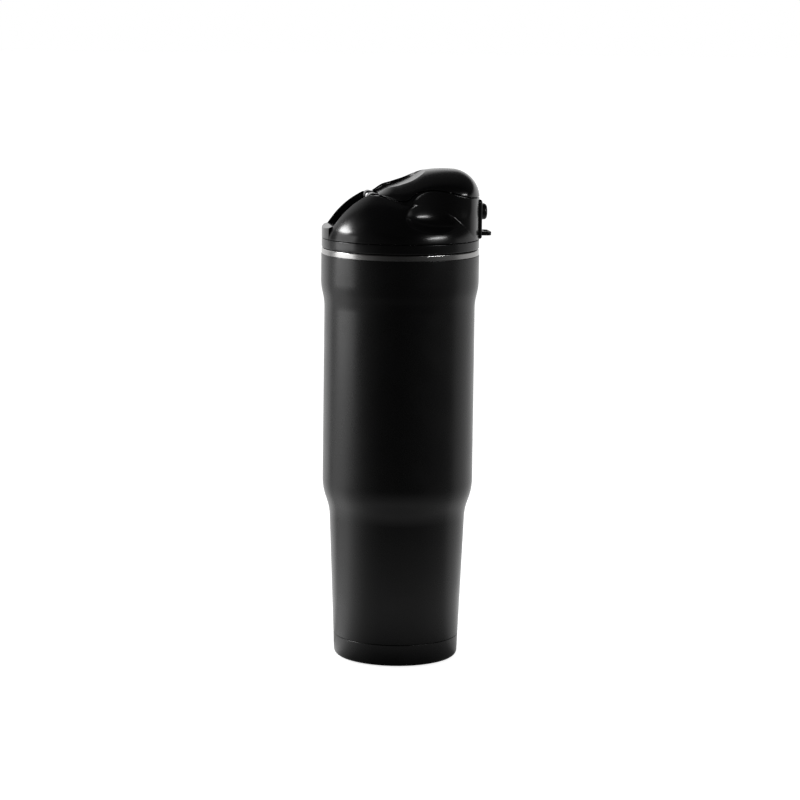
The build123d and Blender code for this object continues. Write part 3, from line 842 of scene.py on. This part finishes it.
# ---- Boss on the nose -----------------------------------------------------------------------
loop_points = 144
loop_angle = np.linspace(0, 2 * pi, loop_points, endpoint=False) + 1e-4
boss_corner = 1.6
boss_round = 1.4
boss_back = 42.6
boss_middle = 45.0
button_hole_floor = 45.4
pocket_floor = 45.9


def rounded_front(outline, front, radius, angles):
    """Rows of an outline that is drawn in along a quarter circle as it nears the front."""
    return [
        at_depth(outline(radius * (1 - np.cos(a))), front - radius * (1 - np.sin(a)))
        for a in np.radians(angles)
    ]


def boss_block():
    """Block under the face: a rounded rectangle carried along X, drawn in at the front."""
    middle = (0.0, (boss_low + boss_top) / 2)

    def outline(inset):
        size = (2 * boss_half - 2 * inset, boss_top - boss_low - 2 * inset)
        return slot_loop(loop_angle, *size, middle, max(boss_corner - inset, 0.2))

    rows = [at_depth(outline(0.0), x) for x in (boss_back, boss_middle)]
    rows += rounded_front(outline, boss_face, boss_round, np.linspace(0, 90, 7))
    return turned_out(lid_patch(rows), 36, (0, 0, 1))


def boss_plate(centre, size, corner, low, high, depth, end):
    """A share of the boss's face with its hole: the face, the hole's edge and wall, its end."""
    outer = rectangle_ray(loop_angle, low, high, centre)
    hole = slot_loop(loop_angle, *size, centre, corner)
    inner = slot_loop(loop_angle, size[0] + 0.3, size[1] + 0.3, centre, corner + 0.15)
    rows = [at_depth(loop, boss_face) for loop in (outer, (outer + inner) / 2, inner)]
    rows += [at_depth(hole, boss_face - 0.15), at_depth(hole, depth), end]
    return turned_out(lid_patch(rows), 10, (1, 0, 0))


def boss():
    """Boss on the nose: block, oval hole through to the hatch, and pocket for the lever."""
    hole = (button_size[0] + 2 * button_clear, button_size[1] + 2 * button_clear)
    hole_mid = (0.0, button_height_mid)
    low = (-boss_half + boss_round, boss_low + boss_round)
    high = (boss_half - boss_round, boss_top - boss_round)
    split = (pocket_mid + pocket_size[1] / 2 + button_height_mid - hole[1] / 2) / 2
    opening = rectangle_ray(
        loop_angle, (-hatch_half, basin_floor), (hatch_half, hatch_top), hole_mid
    )
    way_in = at_depth(opening, nose_radius - rim_width + 0.1)
    bottom = at_depth(np.tile((0.0, pocket_mid), (loop_points, 1)), pocket_floor)
    return [
        boss_block(),
        boss_plate(
            hole_mid, hole, hole[1] / 2, (low[0], split), high, button_hole_floor, way_in
        ),
        boss_plate(
            (0.0, pocket_mid), pocket_size, 0.8, low, (high[0], split), pocket_floor, bottom
        ),
    ]


side = lid_body_side()
make_piece(
    "lid_body_skin", [side, mirrored(side), lid_sill(), lid_deck(), lid_underside()], gloss, "lid",
    replaces=("lid_body",), closed=False,
)
make_piece("lid_boss", boss(), gloss, "lid", smooth=30, closed=False)


# ---- Flip cover -----------------------------------------------------------------------------
cover_centre = np.array([12.0, 0.0, 22.0])


def cover_top(x, y):
    """Height of the cover's upper surface over a plan point."""
    side = side_height(x)
    return side + (crest_height(x) - side) * np.sqrt(np.maximum(1 - (y / half_width(x)) ** 2, 0))


def tongue(u, grow):
    """Plan outline of the trough: widening along X, then half an ellipse to its tip."""
    straight = -cover_start
    half = trough_half + grow
    tip = trough_end + grow
    bend = 0.5 * pi * np.sqrt((half**2 + tip**2) / 2)
    run = u * (straight + bend)
    turn = np.clip((run - straight) / bend, 0, 1) * pi / 2
    x = np.where(run < straight, cover_start + run, tip * np.sin(turn))
    t = np.clip((x - cover_start) / (straight - swell_short), 0, 1)
    widening = trough_swell * t * t * (3 - 2 * t)
    return np.column_stack([x, -(half + widening) * np.cos(turn)])


def cover_edge(u, level):
    """Lower outline of the cover: across its rear, then along the parting line to the nose."""
    gap_height = parting_height(np.array([cover_start]))[0] + parting_gap / 2
    w, s, t = (f(np.array([cover_start]))[0] for f in (half_width, side_height, crest_height))
    corner = w * np.sqrt(1 - ((gap_height - s) / (t - s)) ** 2)
    rear_share = 0.09
    across = np.clip(u / rear_share, 0, 1)
    centre = np.array([16.0, 0.0])
    first = np.arctan2(-corner, cover_start - centre[0])
    azimuth = first * (1 - np.clip((u - rear_share) / (1 - rear_share), 0, 1)) ** 1.15
    heading = np.column_stack([np.cos(azimuth), np.sin(azimuth)])

    def inside(distance):
        flat = centre + heading * distance[:, None]
        height = parting_height(flat[:, 0]) + parting_gap / 2
        return (nose_form(raised(flat, height)) < level) & (flat[:, 0] > cover_start)

    flat = centre + heading * reach(inside, len(u), beyond_lid)[:, None]
    rear = u < rear_share
    y = -(trough_half + (corner - trough_half) * across)
    flat[rear] = np.column_stack([np.full(len(u), cover_start), y])[rear]
    return flat, rear


def lower_edge(u):
    """Rounded lower edge of the cover, from its skin to the face that looks down at the gap."""
    outline, rear = cover_edge(u, 0.0)
    lower = parting_height(outline[:, 0]) + parting_gap / 2
    edge = raised(outline, np.where(rear, cover_top(*outline.T), lower))
    step = 0.05
    ahead, back = parting_height(outline[:, 0] + step), parting_height(outline[:, 0] - step)
    down = unit(xyz((ahead - back) / (2 * step), 0, -1))
    down[rear] = (-1, 0, 0)
    bend = np.full(len(u), rim_round)
    bend[0] = least_round
    rows = round_edge(edge, slope_of(nose_form, edge), down, bend, round_steps)
    foot = raised(rows[-1][:, :2], np.where(rear, lower, rows[-1][:, 2]))
    return np.concatenate([rows, foot[None]])


def trough_bands(u):
    """Rows of the trough's floor, cove and rounded lips, and its middle line.

    Both radii are shares of the trough's depth, so they shrink to nothing at its tip.
    """
    plan = tongue(u, 0.0)
    lip = raised(plan, cover_top(*plan.T))
    floor_height = np.minimum(trough_height(plan[:, 0]), lip[:, 2] - 0.02)
    depth = lip[:, 2] - floor_height
    slope_x, slope_y = np.gradient(plan, axis=0).T
    inward = unit(xyz(-slope_y, slope_x, 0))
    inward[0] = (0, 1, 0)
    bend = np.minimum(lip_round, 0.45 * depth)
    bend[0] = least_round
    lips = round_edge(lip, slope_of(nose_form, lip), inward, bend, round_steps)
    foot = raised(plan, floor_height)
    upward = np.broadcast_to([0, 0, 1.0], foot.shape)
    cove = round_edge(foot, inward, upward, -np.minimum(cove_round, 0.5 * depth), round_steps)
    x = np.minimum(plan[:, 0], trough_end - 0.2)
    spine = xyz(x, 0, np.minimum(trough_height(x), cover_top(x, 0)))
    return between(cove[-1], spine, 8)[1:], cove, lips, spine


def cover_inside(u, spine):
    """Skin set in by the wall's thickness, from the lower rim up, and the trough's underside."""
    first_x = cover_start + 0.05
    rim, rear = cover_edge(u, -cover_wall)
    rim[rear, 0] = cover_start + cover_wall
    rim = raised(rim, parting_height(rim[:, 0]) + parting_gap / 2)
    plan = tongue(u, cover_wall)
    plan[:, 0] = np.maximum(plan[:, 0], first_x)
    top = raised(plan, cover_top(*plan.T) - cover_wall)
    toward = unit(between(unit(rim - cover_centre), unit(top - cover_centre), 24))
    skin = cast(nose_form, cover_centre, toward, beyond_lid, level=-cover_wall)
    skin[..., 0] = np.maximum(skin[..., 0], first_x)
    skin[0] = rim
    skin[-1] = top
    under = raised(plan, np.minimum(trough_height(plan[:, 0]) - cover_wall, top[:, 2] - 0.02))
    middle = raised(spine[:, :2], np.minimum(spine[:, 2] - cover_wall, under[:, 2].max()))
    return np.concatenate([skin, between(under, middle, 8)])


def cover_half():
    """Near half of the cover as one grid: trough, rounded lips, skin, lower edge and inside.

    The skin's rows follow rays from one centre, mixed in even steps between its two edges.
    """
    u = np.linspace(0, 1, 210)
    bottom = lower_edge(u)
    trough, cove, lips, spine = trough_bands(u)
    toward = between(unit(bottom[0] - cover_centre), unit(lips[0] - cover_centre), 90)
    skin = cast(nose_form, cover_centre, unit(toward), beyond_lid)
    skin[0] = bottom[0]
    skin[-1] = lips[0]
    outside = [trough[::-1], cove[::-1], lips[::-1], skin[::-1][1:], bottom[1:]]
    return lid_patch(np.concatenate([*outside, cover_inside(u, spine)]), close=False)


def knuckle(y0, y1):
    """Hinge barrel with the web that carries it on the cover: an outline in XZ run along Y."""
    barrel = 3.1
    outline = np.array(
        [(hinge_x + barrel * np.cos(a), hinge_height + barrel * np.sin(a))
         for a in np.radians(np.linspace(80, 262, 25))]
        + [(hinge_x + 2.0, hinge_height - 1.6), (hinge_x + 6.5, hinge_height - 1.0),
           (hinge_x + 8.0, hinge_height + 0.6), (hinge_x + 8.0, hinge_height + 2.6),
           (hinge_x + 3.4, hinge_height + 2.4)]
    )
    middle = np.array([hinge_x + 1.5, hinge_height + 0.2])
    rows = []
    for y, shrink in (
        (y0, 0.0), (y0, 0.94), (y0 + 0.15, 0.98), (y0 + 0.35, 1.0),
        (y1 - 0.35, 1.0), (y1 - 0.15, 0.98), (y1, 0.94), (y1, 0.0),
    ):
        loop = middle + (outline - middle) * shrink
        rows.append(xyz(loop[:, 0], y, loop[:, 1]))
    return lid_patch(rows)


half = cover_half()
make_piece("flip_cover_shell", [half, mirrored(half)], gloss, "cover", replaces=("flip_cover",))
make_piece("cover_knuckles", [knuckle(6.0, 14.0), knuckle(-14.0, -6.0)], gloss, "cover")


def post():
    """Post of the vent's seal: a turned peg whose upper half rises to the trough's wall."""
    low, radius, top = 34.5, 3.8, 38.5
    peg = rounded([(0, low), (radius, low), (radius, top), (0, top)], [0.3, 0.3])
    points, faces = turned(peg, 48, (3.0, 0.0))
    upper = points[..., 2] > 36
    points[..., 2] += upper * (trough_height(points[..., 0]) - cover_wall / 2 - top)
    return lid_place(points), faces


make_piece("vent_post", [post()], satin, "cover")


# ---- Cup ------------------------------------------------------------------------------------
foot_radius = cap_high[0]
groove = 0.0137
groove_radius = foot_radius + 0.0003
coat_top = shell_high[2]
coat_wall = 0.0008
bend_radius = 0.034
waist, shoulder = 0.0915, 0.1048
shell_profile = rounded(
    [
        (groove_radius - coat_wall, groove + 0.0002), (groove_radius, groove + 0.0002),
        (0.0414, waist), (0.0458, shoulder), (0.0456, 0.219), (collar_radius, 0.2286),
        (collar_radius, coat_top), (collar_radius - coat_wall, coat_top),
        (collar_radius - coat_wall, 0.229), (0.0448, 0.219), (0.045, 0.105),
        (0.0406, 0.0917), (groove_radius - coat_wall, groove + 0.0002),
    ],
    [0.0002] + [bend_radius] * 4 + [0.0003, 0.0003] + [bend_radius] * 4,
    count=15,
)
make_piece(
    "coated_shell", [turned(spaced(shell_profile, 0.004), 256)], coat, "cup",
    replaces=("outer_shell",),
)

mouth_radius = 0.0415
liner_profile = rounded(
    [
        (0, 0.011), (0.0335, 0.011), (0.0369, waist), (mouth_radius, shoulder),
        (mouth_radius, lip_top), (lip_radius, lip_top), (lip_radius, coat_top + 0.00005),
        (lip_radius - coat_wall, coat_top + 0.00005), (lip_radius - coat_wall, lip_top - 0.0012),
        (mouth_radius + 0.0007, lip_top - 0.0012), (mouth_radius + 0.0007, shoulder),
        (0.0376, waist), (0.0342, 0.0103), (0, 0.0103),
    ],
    [0.009, bend_radius, bend_radius, 0.0009, 0.0009, 0.0002, 0.0002, 0.0005, 0.0005,
     bend_radius, bend_radius, 0.0097],
    count=11,
)
make_piece(
    "steel_liner", [turned(spaced(liner_profile, 0.006), 192)], steel, "cup",
    replaces=("inner_liner",),
)

cap_profile = rounded(
    [
        (0.002, pad_high[2] + 0.0002), (pad_high[0] + 0.0002, pad_high[2] + 0.0002),
        (pad_high[0] + 0.0002, cap_low[2]), (foot_radius - 0.0003, cap_low[2]),
        (foot_radius, cap_high[2] - 0.003), (groove_radius, groove),
        (groove_radius - 0.0009, groove), (groove_radius - 0.0009, groove + 0.003),
        (groove_radius - 0.0019, groove + 0.003), (foot_radius - 0.0019, pad_high[2] + 0.0012),
        (0.002, pad_high[2] + 0.0012), (0.002, pad_high[2] + 0.0002),
    ],
    [0.0002, 0.0005, 0.005, 0.02, 0.0003, 0.0001, 0.0002, 0.0002, 0.0025, 0.0002],
)
make_piece("coated_cap", [turned(cap_profile, 192)], coat, "cup", replaces=("base_cap",))

pad_groove = ((0.0, 0.0), (0.0003, 0.0004), (0.0013, 0.0004), (0.0016, 0.0))
pad_profile = rounded(
    [(0, pad_low[2])] + [
        (0.006 * k + shift, pad_low[2] + rise) for k in range(1, 5) for shift, rise in pad_groove
    ] + [(pad_high[0], pad_low[2]), (pad_high[0], pad_high[2]), (0, pad_high[2])],
    [0.0001] * 16 + [0.0004, 0.0001],
    count=4,
)
make_piece("ribbed_pad", [turned(pad_profile, 128)], rubber, "cup", replaces=("base_pad",))


# ---- Screwed plug, gasket, threads, spout ---------------------------------------------------
plug_radius = 0.0406
plug_wall = 0.0036
floor_hole = 0.0107
floor_thickness = 0.0022
band_radius = plug_high[1]
groove_low = gasket_low[2] - 0.0001
plug_profile = rounded(
    [
        (floor_hole, plug_low[2]), (plug_radius, plug_low[2]), (plug_radius, groove_low),
        (plug_radius - 0.0014, groove_low), (plug_radius - 0.0014, groove_low + 0.0034),
        (plug_radius, groove_low + 0.0034), (plug_radius, lid_under), (band_radius, lid_under),
        (band_radius, plug_high[2]), (band_radius - 0.0022, plug_high[2]),
        (band_radius - 0.0022, lid_under + 0.0028), (plug_radius - plug_wall, lid_under + 0.0028),
        (plug_radius - plug_wall, plug_low[2] + floor_thickness),
        (floor_hole, plug_low[2] + floor_thickness), (floor_hole, plug_low[2]),
    ],
    [0.0012, 0.0002, 0.0001, 0.0001, 0.0002, 0.0006, 0.0007, 0.0004, 0.0003, 0.0005, 0.0005, 0.001,
     0.0003],
    count=6,
)


def off_axis_floor(profile, hole_x):
    """Slides the floor's inner edge over to the spout, so the turned floor closes round it."""
    points, faces = turned(profile, 192)
    radius = np.hypot(points[..., 0], points[..., 1])
    fixed = 0.034
    pull = np.clip((fixed - radius) / (fixed - floor_hole), 0, 1)
    points[..., 0] += pull * hole_x
    return points, faces


make_piece(
    "screw_plug", [off_axis_floor(plug_profile, spout_x * MM)], gloss, "lid", replaces=("lid_plug",)
)


def thread(radius, low, pitch, turns, height, width):
    """Helical ridge: a rounded ridge section carried up a helix, fading out at both ends."""
    angle = np.linspace(0, 2 * pi * turns, int(96 * turns))
    fade = np.minimum(1, np.minimum(angle, angle[-1] - angle) / 0.7)
    section = np.linspace(-1, 1, 9)
    rise = height * np.cos(section * pi / 2) ** 0.7
    r = radius + fade[:, None] * rise - np.sign(height) * 0.0002
    z = low + pitch * angle[:, None] / (2 * pi) + section * width / 2
    points = xyz(r * np.cos(angle)[:, None], r * np.sin(angle)[:, None], z)
    return points, grid_faces(len(angle), len(section), close=True)


thread_pitch = 0.0035
plug_ridge = thread(plug_radius, 0.2395, thread_pitch, 1.6, 0.00055, 0.002)
make_piece("plug_thread", [plug_ridge], gloss, "lid")
neck_ridge = thread(mouth_radius, 0.2378, thread_pitch, 1.5, -0.0003, 0.0012)
make_piece("neck_thread", [neck_ridge], steel, "cup")

spout_bore, spout_outside, flange_radius = 0.0085, 0.0105, 0.0115
flange_low, flange_high = lid_under + 0.0183, lid_under + 0.0197
spout_profile = rounded(
    [
        (spout_bore, spout_low[2]), (spout_outside, spout_low[2]), (spout_outside, flange_low),
        (flange_radius, flange_low), (flange_radius, flange_high), (spout_outside, flange_high),
        (spout_outside, spout_high[2]), (spout_bore, spout_high[2]), (spout_bore, spout_low[2]),
    ],
    [0.0003, 0.0002, 0.0002, 0.0004, 0.0006, 0.0009, 0.0009],
)
make_piece(
    "spout_tube", [turned(spout_profile, 96, (spout_x * MM, 0.0))], satin, "lid",
    replaces=("spout",),
)


# ---- Button and lever -----------------------------------------------------------------------
def button():
    """Oval button: slot outline carried along X, its face rounded off and slightly dished."""
    centre = (0.0, button_height_mid)
    front, back = button_high[0] / MM, button_low[0] / MM
    edge_round, dish_depth = 1.6, 0.35

    def outline(inset):
        size = (button_size[0] - 2 * inset, button_size[1] - 2 * inset)
        return slot_loop(loop_angle, *size, centre, button_size[1] / 2 - inset)

    rows = [at_depth(np.tile(centre, (loop_points, 1)), back)]
    rows += [at_depth(outline(0.0), x) for x in (back, front - edge_round)]
    rows += rounded_front(outline, front, edge_round, np.linspace(8, 90, 9))
    face = outline(edge_round)
    for t in np.linspace(0, 1, 9)[1:]:
        dish = dish_depth * (1 - (1 - t) ** 2)
        rows.append(at_depth(centre + (face - centre) * (1 - t), front - dish))
    return lid_patch(rows)


def lever():
    """Lock lever: flat tab with rounded corners and a finger slot, on its barrel."""
    angle = np.linspace(0, 2 * pi, 120, endpoint=False) + 1e-4
    pivot = boss_face - 0.9
    front = lever_high[0] / MM
    width = (lever_high[1] - lever_low[1]) / MM
    mid_x, length = (pivot + front) / 2, front - pivot
    thick = (lever_high[2] - lever_low[2]) / MM
    z_mid = lever_height_mid

    def loop(length_change, z, slot=False):
        """The tab's outline, or its slot's, made smaller by a length and set at a height."""
        size = (3.0, 9.0) if slot else (length, width)
        centre = (mid_x + 1.0, 0.0) if slot else (mid_x, 0.0)
        corner = 1.5 - length_change / 2 if slot else 2.3
        flat = slot_loop(angle, size[0] - length_change, size[1] - length_change, centre, corner)
        return raised(flat, z)

    low, high = z_mid - thick / 2, z_mid + thick / 2
    rows = [
        loop(0, low, True), loop(-0.4, low, True), loop(0.6, low), loop(0.15, low + 0.1),
        loop(0, low + 0.4), loop(0, high - 0.5), loop(0.15, high - 0.15), loop(0.7, high),
        loop(-0.5, high, True), loop(-0.1, high - 0.15, True), loop(0, high - 0.4, True),
        loop(0, low, True),
    ]
    bore, radius, half = 0.0006, 0.0012, 0.008
    barrel_profile = rounded(
        [(bore, -half), (radius, -half), (radius, half), (bore, half)], [0.0002, 0.0002]
    )
    barrel, barrel_faces = turned(barrel_profile, 40)
    turned_over = np.stack([barrel[..., 0], barrel[..., 2], barrel[..., 1]], axis=-1)
    turned_over += [pivot * MM, 0.0, lid_under + z_mid * MM]
    return [lid_patch(rows), (turned_over, barrel_faces)]


make_piece("oval_button", [button()], satin, "button", replaces=("push_button",))
make_piece("lever_tab", lever(), satin, "lock", replaces=("lock_lever",))


# ---- Springs --------------------------------------------------------------------------------
thin_wire = 0.0003
thick_wire = 0.0004
hinge_coil_radius = 0.0021


def coil(radius, turns, length, wire_radius):
    """Helix along X from the origin with its first and last turn closed up."""
    t = np.linspace(0, 1, int(40 * turns))
    angle = 2 * pi * turns * t
    advance = wire_radius + (length - 2 * wire_radius) * (0.5 - 0.5 * np.cos(pi * t)) ** 0.9
    return xyz(advance, radius * np.cos(angle), radius * np.sin(angle))


spring_radius = (spring_high[1] - spring_low[1]) / 2 - thin_wire
free_length = spring_high[0] - spring_low[0]
path = coil(spring_radius, 4.5, free_length, thin_wire)
path += [spring_low[0], 0.0, (spring_low[2] + spring_high[2]) / 2]
button_coil = make_piece(
    "button_coil", [tube(path, thin_wire, (1, 0, 0))], wire, "lid", replaces=("button_spring",)
)
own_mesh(button_coil)

hinge_path = coil(hinge_coil_radius, 7.0, hinge_high[1] - hinge_low[1], thick_wire)[:, [1, 0, 2]]
hinge_path += [hinge_x * MM, hinge_low[1], (pin_low[2] + pin_high[2]) / 2]
make_piece(
    "hinge_coil", [tube(hinge_path, thick_wire, (0, 1, 0))], wire, "lid",
    replaces=("hinge_spring",),
)


# ---- Floor, lights and camera ---------------------------------------------------------------
view_azimuth = -8.0
lamp_target = Vector((0.0, 0.0, 0.25))


def around(angle, distance, height):
    """Place at an angle from the camera's direction, positive to the camera's right."""
    turn = radians(angle + view_azimuth - 90)
    return Vector((distance * np.cos(turn), distance * np.sin(turn), height))


def bearing_group():
    """Node group: share of a full turn round the mug, 0.5 towards the camera, from a direction."""
    group, given, result = new_group("bearing", {"Direction": "Vector"}, {"Share": "Float"})
    turn = add_node(group, "Mapping", Rotation=(0, 0, radians(-view_azimuth)))
    split = add_node(group, "SeparateXYZ")
    flip = add_node(group, "Math", "MULTIPLY")
    flip.inputs[1].default_value = -1.0
    angle = add_node(group, "Math", "ARCTAN2")
    share = add_node(group, "MapRange", From_Min=-pi, From_Max=pi)
    join(
        group,
        (given, "Direction", turn, "Vector"), (turn, "Vector", split, "Vector"),
        (split, "Y", flip, 0), (split, "X", angle, 0), (flip, "Value", angle, 1),
        (angle, "Value", share, "Value"), (share, "Result", result, "Share"),
    )
    return group


def add_bearing_ramp(tree, place, output, bearing, stops):
    """Brightness round the mug: stops are (degrees from the camera's direction, level)."""
    share = tree.nodes.new("ShaderNodeGroup")
    share.node_tree = bearing
    ramp = add_node(tree, "ValToRGB")
    marks = ramp.color_ramp.elements
    marks[0].position, marks[1].position = 0.0, 1.0
    for degrees, _ in stops[1:-1]:
        marks.new((degrees + 180) / 360)
    for mark, (_, level) in zip(marks, stops):
        mark.color = (level, level, level, 1)
    join(tree, (place, output, share, "Direction"), (share, "Share", ramp, "Fac"))
    return ramp


def pale_floor(bearing):
    """Pale floor, lifted to white for the camera; in reflections a glow of painted light: painted
    lamplight that is dim in front and pale at the sides, a painted shadow round the foot, and a
    painted bright ring beyond it.
    """
    material = bpy.data.materials.new("pale_floor")
    material.use_nodes = True
    tree = material.node_tree
    tree.nodes.clear()
    output = add_node(tree, "OutputMaterial")
    diffuse = add_node(tree, "BsdfDiffuse", Color=(0.6, 0.6, 0.6, 1))
    glow = add_node(tree, "Emission", Strength=0.82)
    both = add_node(tree, "AddShader")
    # Emission seen only in reflections: painted light, the floor's glow standing in for the lamps
    # lighting it.
    painted_floor_light = add_node(tree, "Emission")
    seen = add_node(tree, "LightPath")
    place = add_node(tree, "TexCoord")
    choose = add_node(tree, "MixShader")
    # Painted lamplight round the mug: floor glow in reflections, bright where the side lamps would
    # light the floor, dim in front.
    stops = [
        (-180, 1.0), (-130, 0.9), (-122, 0.3), (-112, 0.8), (-90, 1.05), (-72, 0.45), (-52, 0.12),
        (-28, 0.035), (0, 0.02), (40, 0.04), (72, 0.1), (88, 0.14), (97, 0.4), (120, 0.6), (180, 1.0),
    ]
    level = add_bearing_ramp(tree, place, "Object", bearing, stops)
    distance = add_node(tree, "VectorMath", "LENGTH")
    # Painted shadow and light near the foot: no glow close to the mug where its shadow falls, and a
    # painted bright ring about 0.15 m out.
    near = add_node(tree, "ValToRGB")
    marks = near.color_ramp.elements
    marks[0].position, marks[1].position = 0.0, 0.4
    for place_out, painted_glow_level in ((0.06, 0.02), (0.15, 0.3), (0.21, 0.16)):
        mark = marks.new(place_out)
        mark.color = (painted_glow_level, painted_glow_level, painted_glow_level, 1)
    marks[0].color = marks[-1].color = (0, 0, 0, 1)
    sum_up = add_node(tree, "VectorMath")
    join(
        tree,
        (place, "Object", distance, 0), (distance, "Value", near, "Fac"),
        (level, "Color", sum_up, 0), (near, "Color", sum_up, 1),
        (sum_up, "Vector", painted_floor_light, "Color"),
        (diffuse, "BSDF", both, 0), (glow, "Emission", both, 1),
        (seen, "Is Camera Ray", choose, "Fac"), (painted_floor_light, "Emission", choose, 1),
        (both, "Shader", choose, 2), (choose, "Shader", output, "Surface"),
    )
    return material


def stage_floor(bearing):
    """Level floor just under the pad."""
    mesh = bpy.data.meshes.new("floor")
    far, level = 12.0, -0.0002
    corners = [(-far, -far), (far, -far), (far, far), (-far, far)]
    mesh.from_pydata([(x, y, level) for x, y in corners], [], [(0, 1, 2, 3)])
    mesh.materials.append(pale_floor(bearing))
    floor = add_object("floor", mesh)


def studio_surroundings(bearing):
    """World: white to the camera; in reflections a pale backdrop behind, a dark room in front."""
    world = bpy.data.worlds.new("studio")
    bpy.context.scene.world = world
    world.use_nodes = True
    tree = world.node_tree
    tree.nodes.clear()
    output = add_node(tree, "OutputWorld")
    white = add_node(tree, "Background", Color=(1, 1, 1, 1))
    fill = add_node(tree, "Background", Color=(0.45, 0.45, 0.45, 1))
    room = add_node(tree, "Background")
    seen = add_node(tree, "LightPath")
    for_gloss = add_node(tree, "MixShader")
    for_camera = add_node(tree, "MixShader")
    place = add_node(tree, "TexCoord")
    split = add_node(tree, "SeparateXYZ")
    stops = [
        (-180, 1.0), (-130, 1.0), (-124, 0.1), (0, 0.01), (66, 0.05), (86, 0.09), (93, 0.4),
        (180, 1.0),
    ]
    level = add_bearing_ramp(tree, place, "Generated", bearing, stops)
    tops = [(-180, 0.55), (-150, 0.8), (-100, 0.8), (0, 0.4), (100, 0.25), (160, 0.3), (180, 0.55)]
    top = add_bearing_ramp(tree, place, "Generated", bearing, tops)
    base = add_node(tree, "Math", "MULTIPLY")
    base.inputs[1].default_value = 0.5
    fade = add_node(tree, "MapRange", To_Min=1.0, To_Max=0.05)
    join(
        tree,
        (top, "Color", base, 0), (base, "Value", fade, "From Min"), (top, "Color", fade, "From Max"),
        (place, "Generated", split, "Vector"), (split, "Z", fade, "Value"),
        (level, "Color", room, "Color"), (fade, "Result", room, "Strength"),
        (seen, "Is Glossy Ray", for_gloss, "Fac"), (fill, "Background", for_gloss, 1),
        (room, "Background", for_gloss, 2), (seen, "Is Camera Ray", for_camera, "Fac"),
        (for_gloss, "Shader", for_camera, 1), (white, "Background", for_camera, 2),
        (for_camera, "Shader", output, "Surface"),
    )


def soft_box(name, place, width, height, radiance, shape="ELLIPSE"):
    """Studio lamp aimed at the lid, with its power worked out from its radiance."""
    lamp = bpy.data.lights.new(name, "AREA")
    lamp.shape = shape
    lamp.size = width
    lamp.size_y = height
    lamp.energy = pi * width * height * radiance
    holder = add_object(name, lamp)
    holder.location = place
    aim = lamp_target - place
    holder.rotation_euler = aim.to_track_quat("-Z", "Y").to_euler()


def front_camera():
    """Long lens a little above the mug's middle, turned eight degrees to the left of its front."""
    azimuth, pitch, roll = radians(view_azimuth), radians(8.8), radians(0.74)
    aim = Vector((0.0, 0.0, 0.1581))
    distance = 1.697
    level = np.cos(pitch)
    back = Vector((np.sin(azimuth) * level, -np.cos(azimuth) * level, np.sin(pitch)))
    data = bpy.data.cameras.new("camera")
    data.lens = 125.2
    data.sensor_width = 36.0
    data.shift_x = 0.0021
    data.clip_end = 20.0
    camera = add_object("camera", data)
    camera.location = aim + back * distance
    turn = (-back).to_track_quat("-Z", "Y").to_matrix()
    camera.rotation_euler = (turn @ Matrix.Rotation(roll, 3, "Z")).to_euler()
    bpy.context.scene.camera = camera


bearing = bearing_group()
stage_floor(bearing)
studio_surroundings(bearing)
soft_box("left_box", around(-88, 1.25, 0.37), 0.85, 0.7, 1.7, "RECTANGLE")
soft_box("left_lamp", around(-100, 1.2, 0.9), 0.55, 0.34, 16.0)
soft_box("right_lamp", around(57, 1.2, 0.72), 0.62, 0.07, 26.0)
front_camera()
bpy.context.scene.view_settings.view_transform = "Standard"
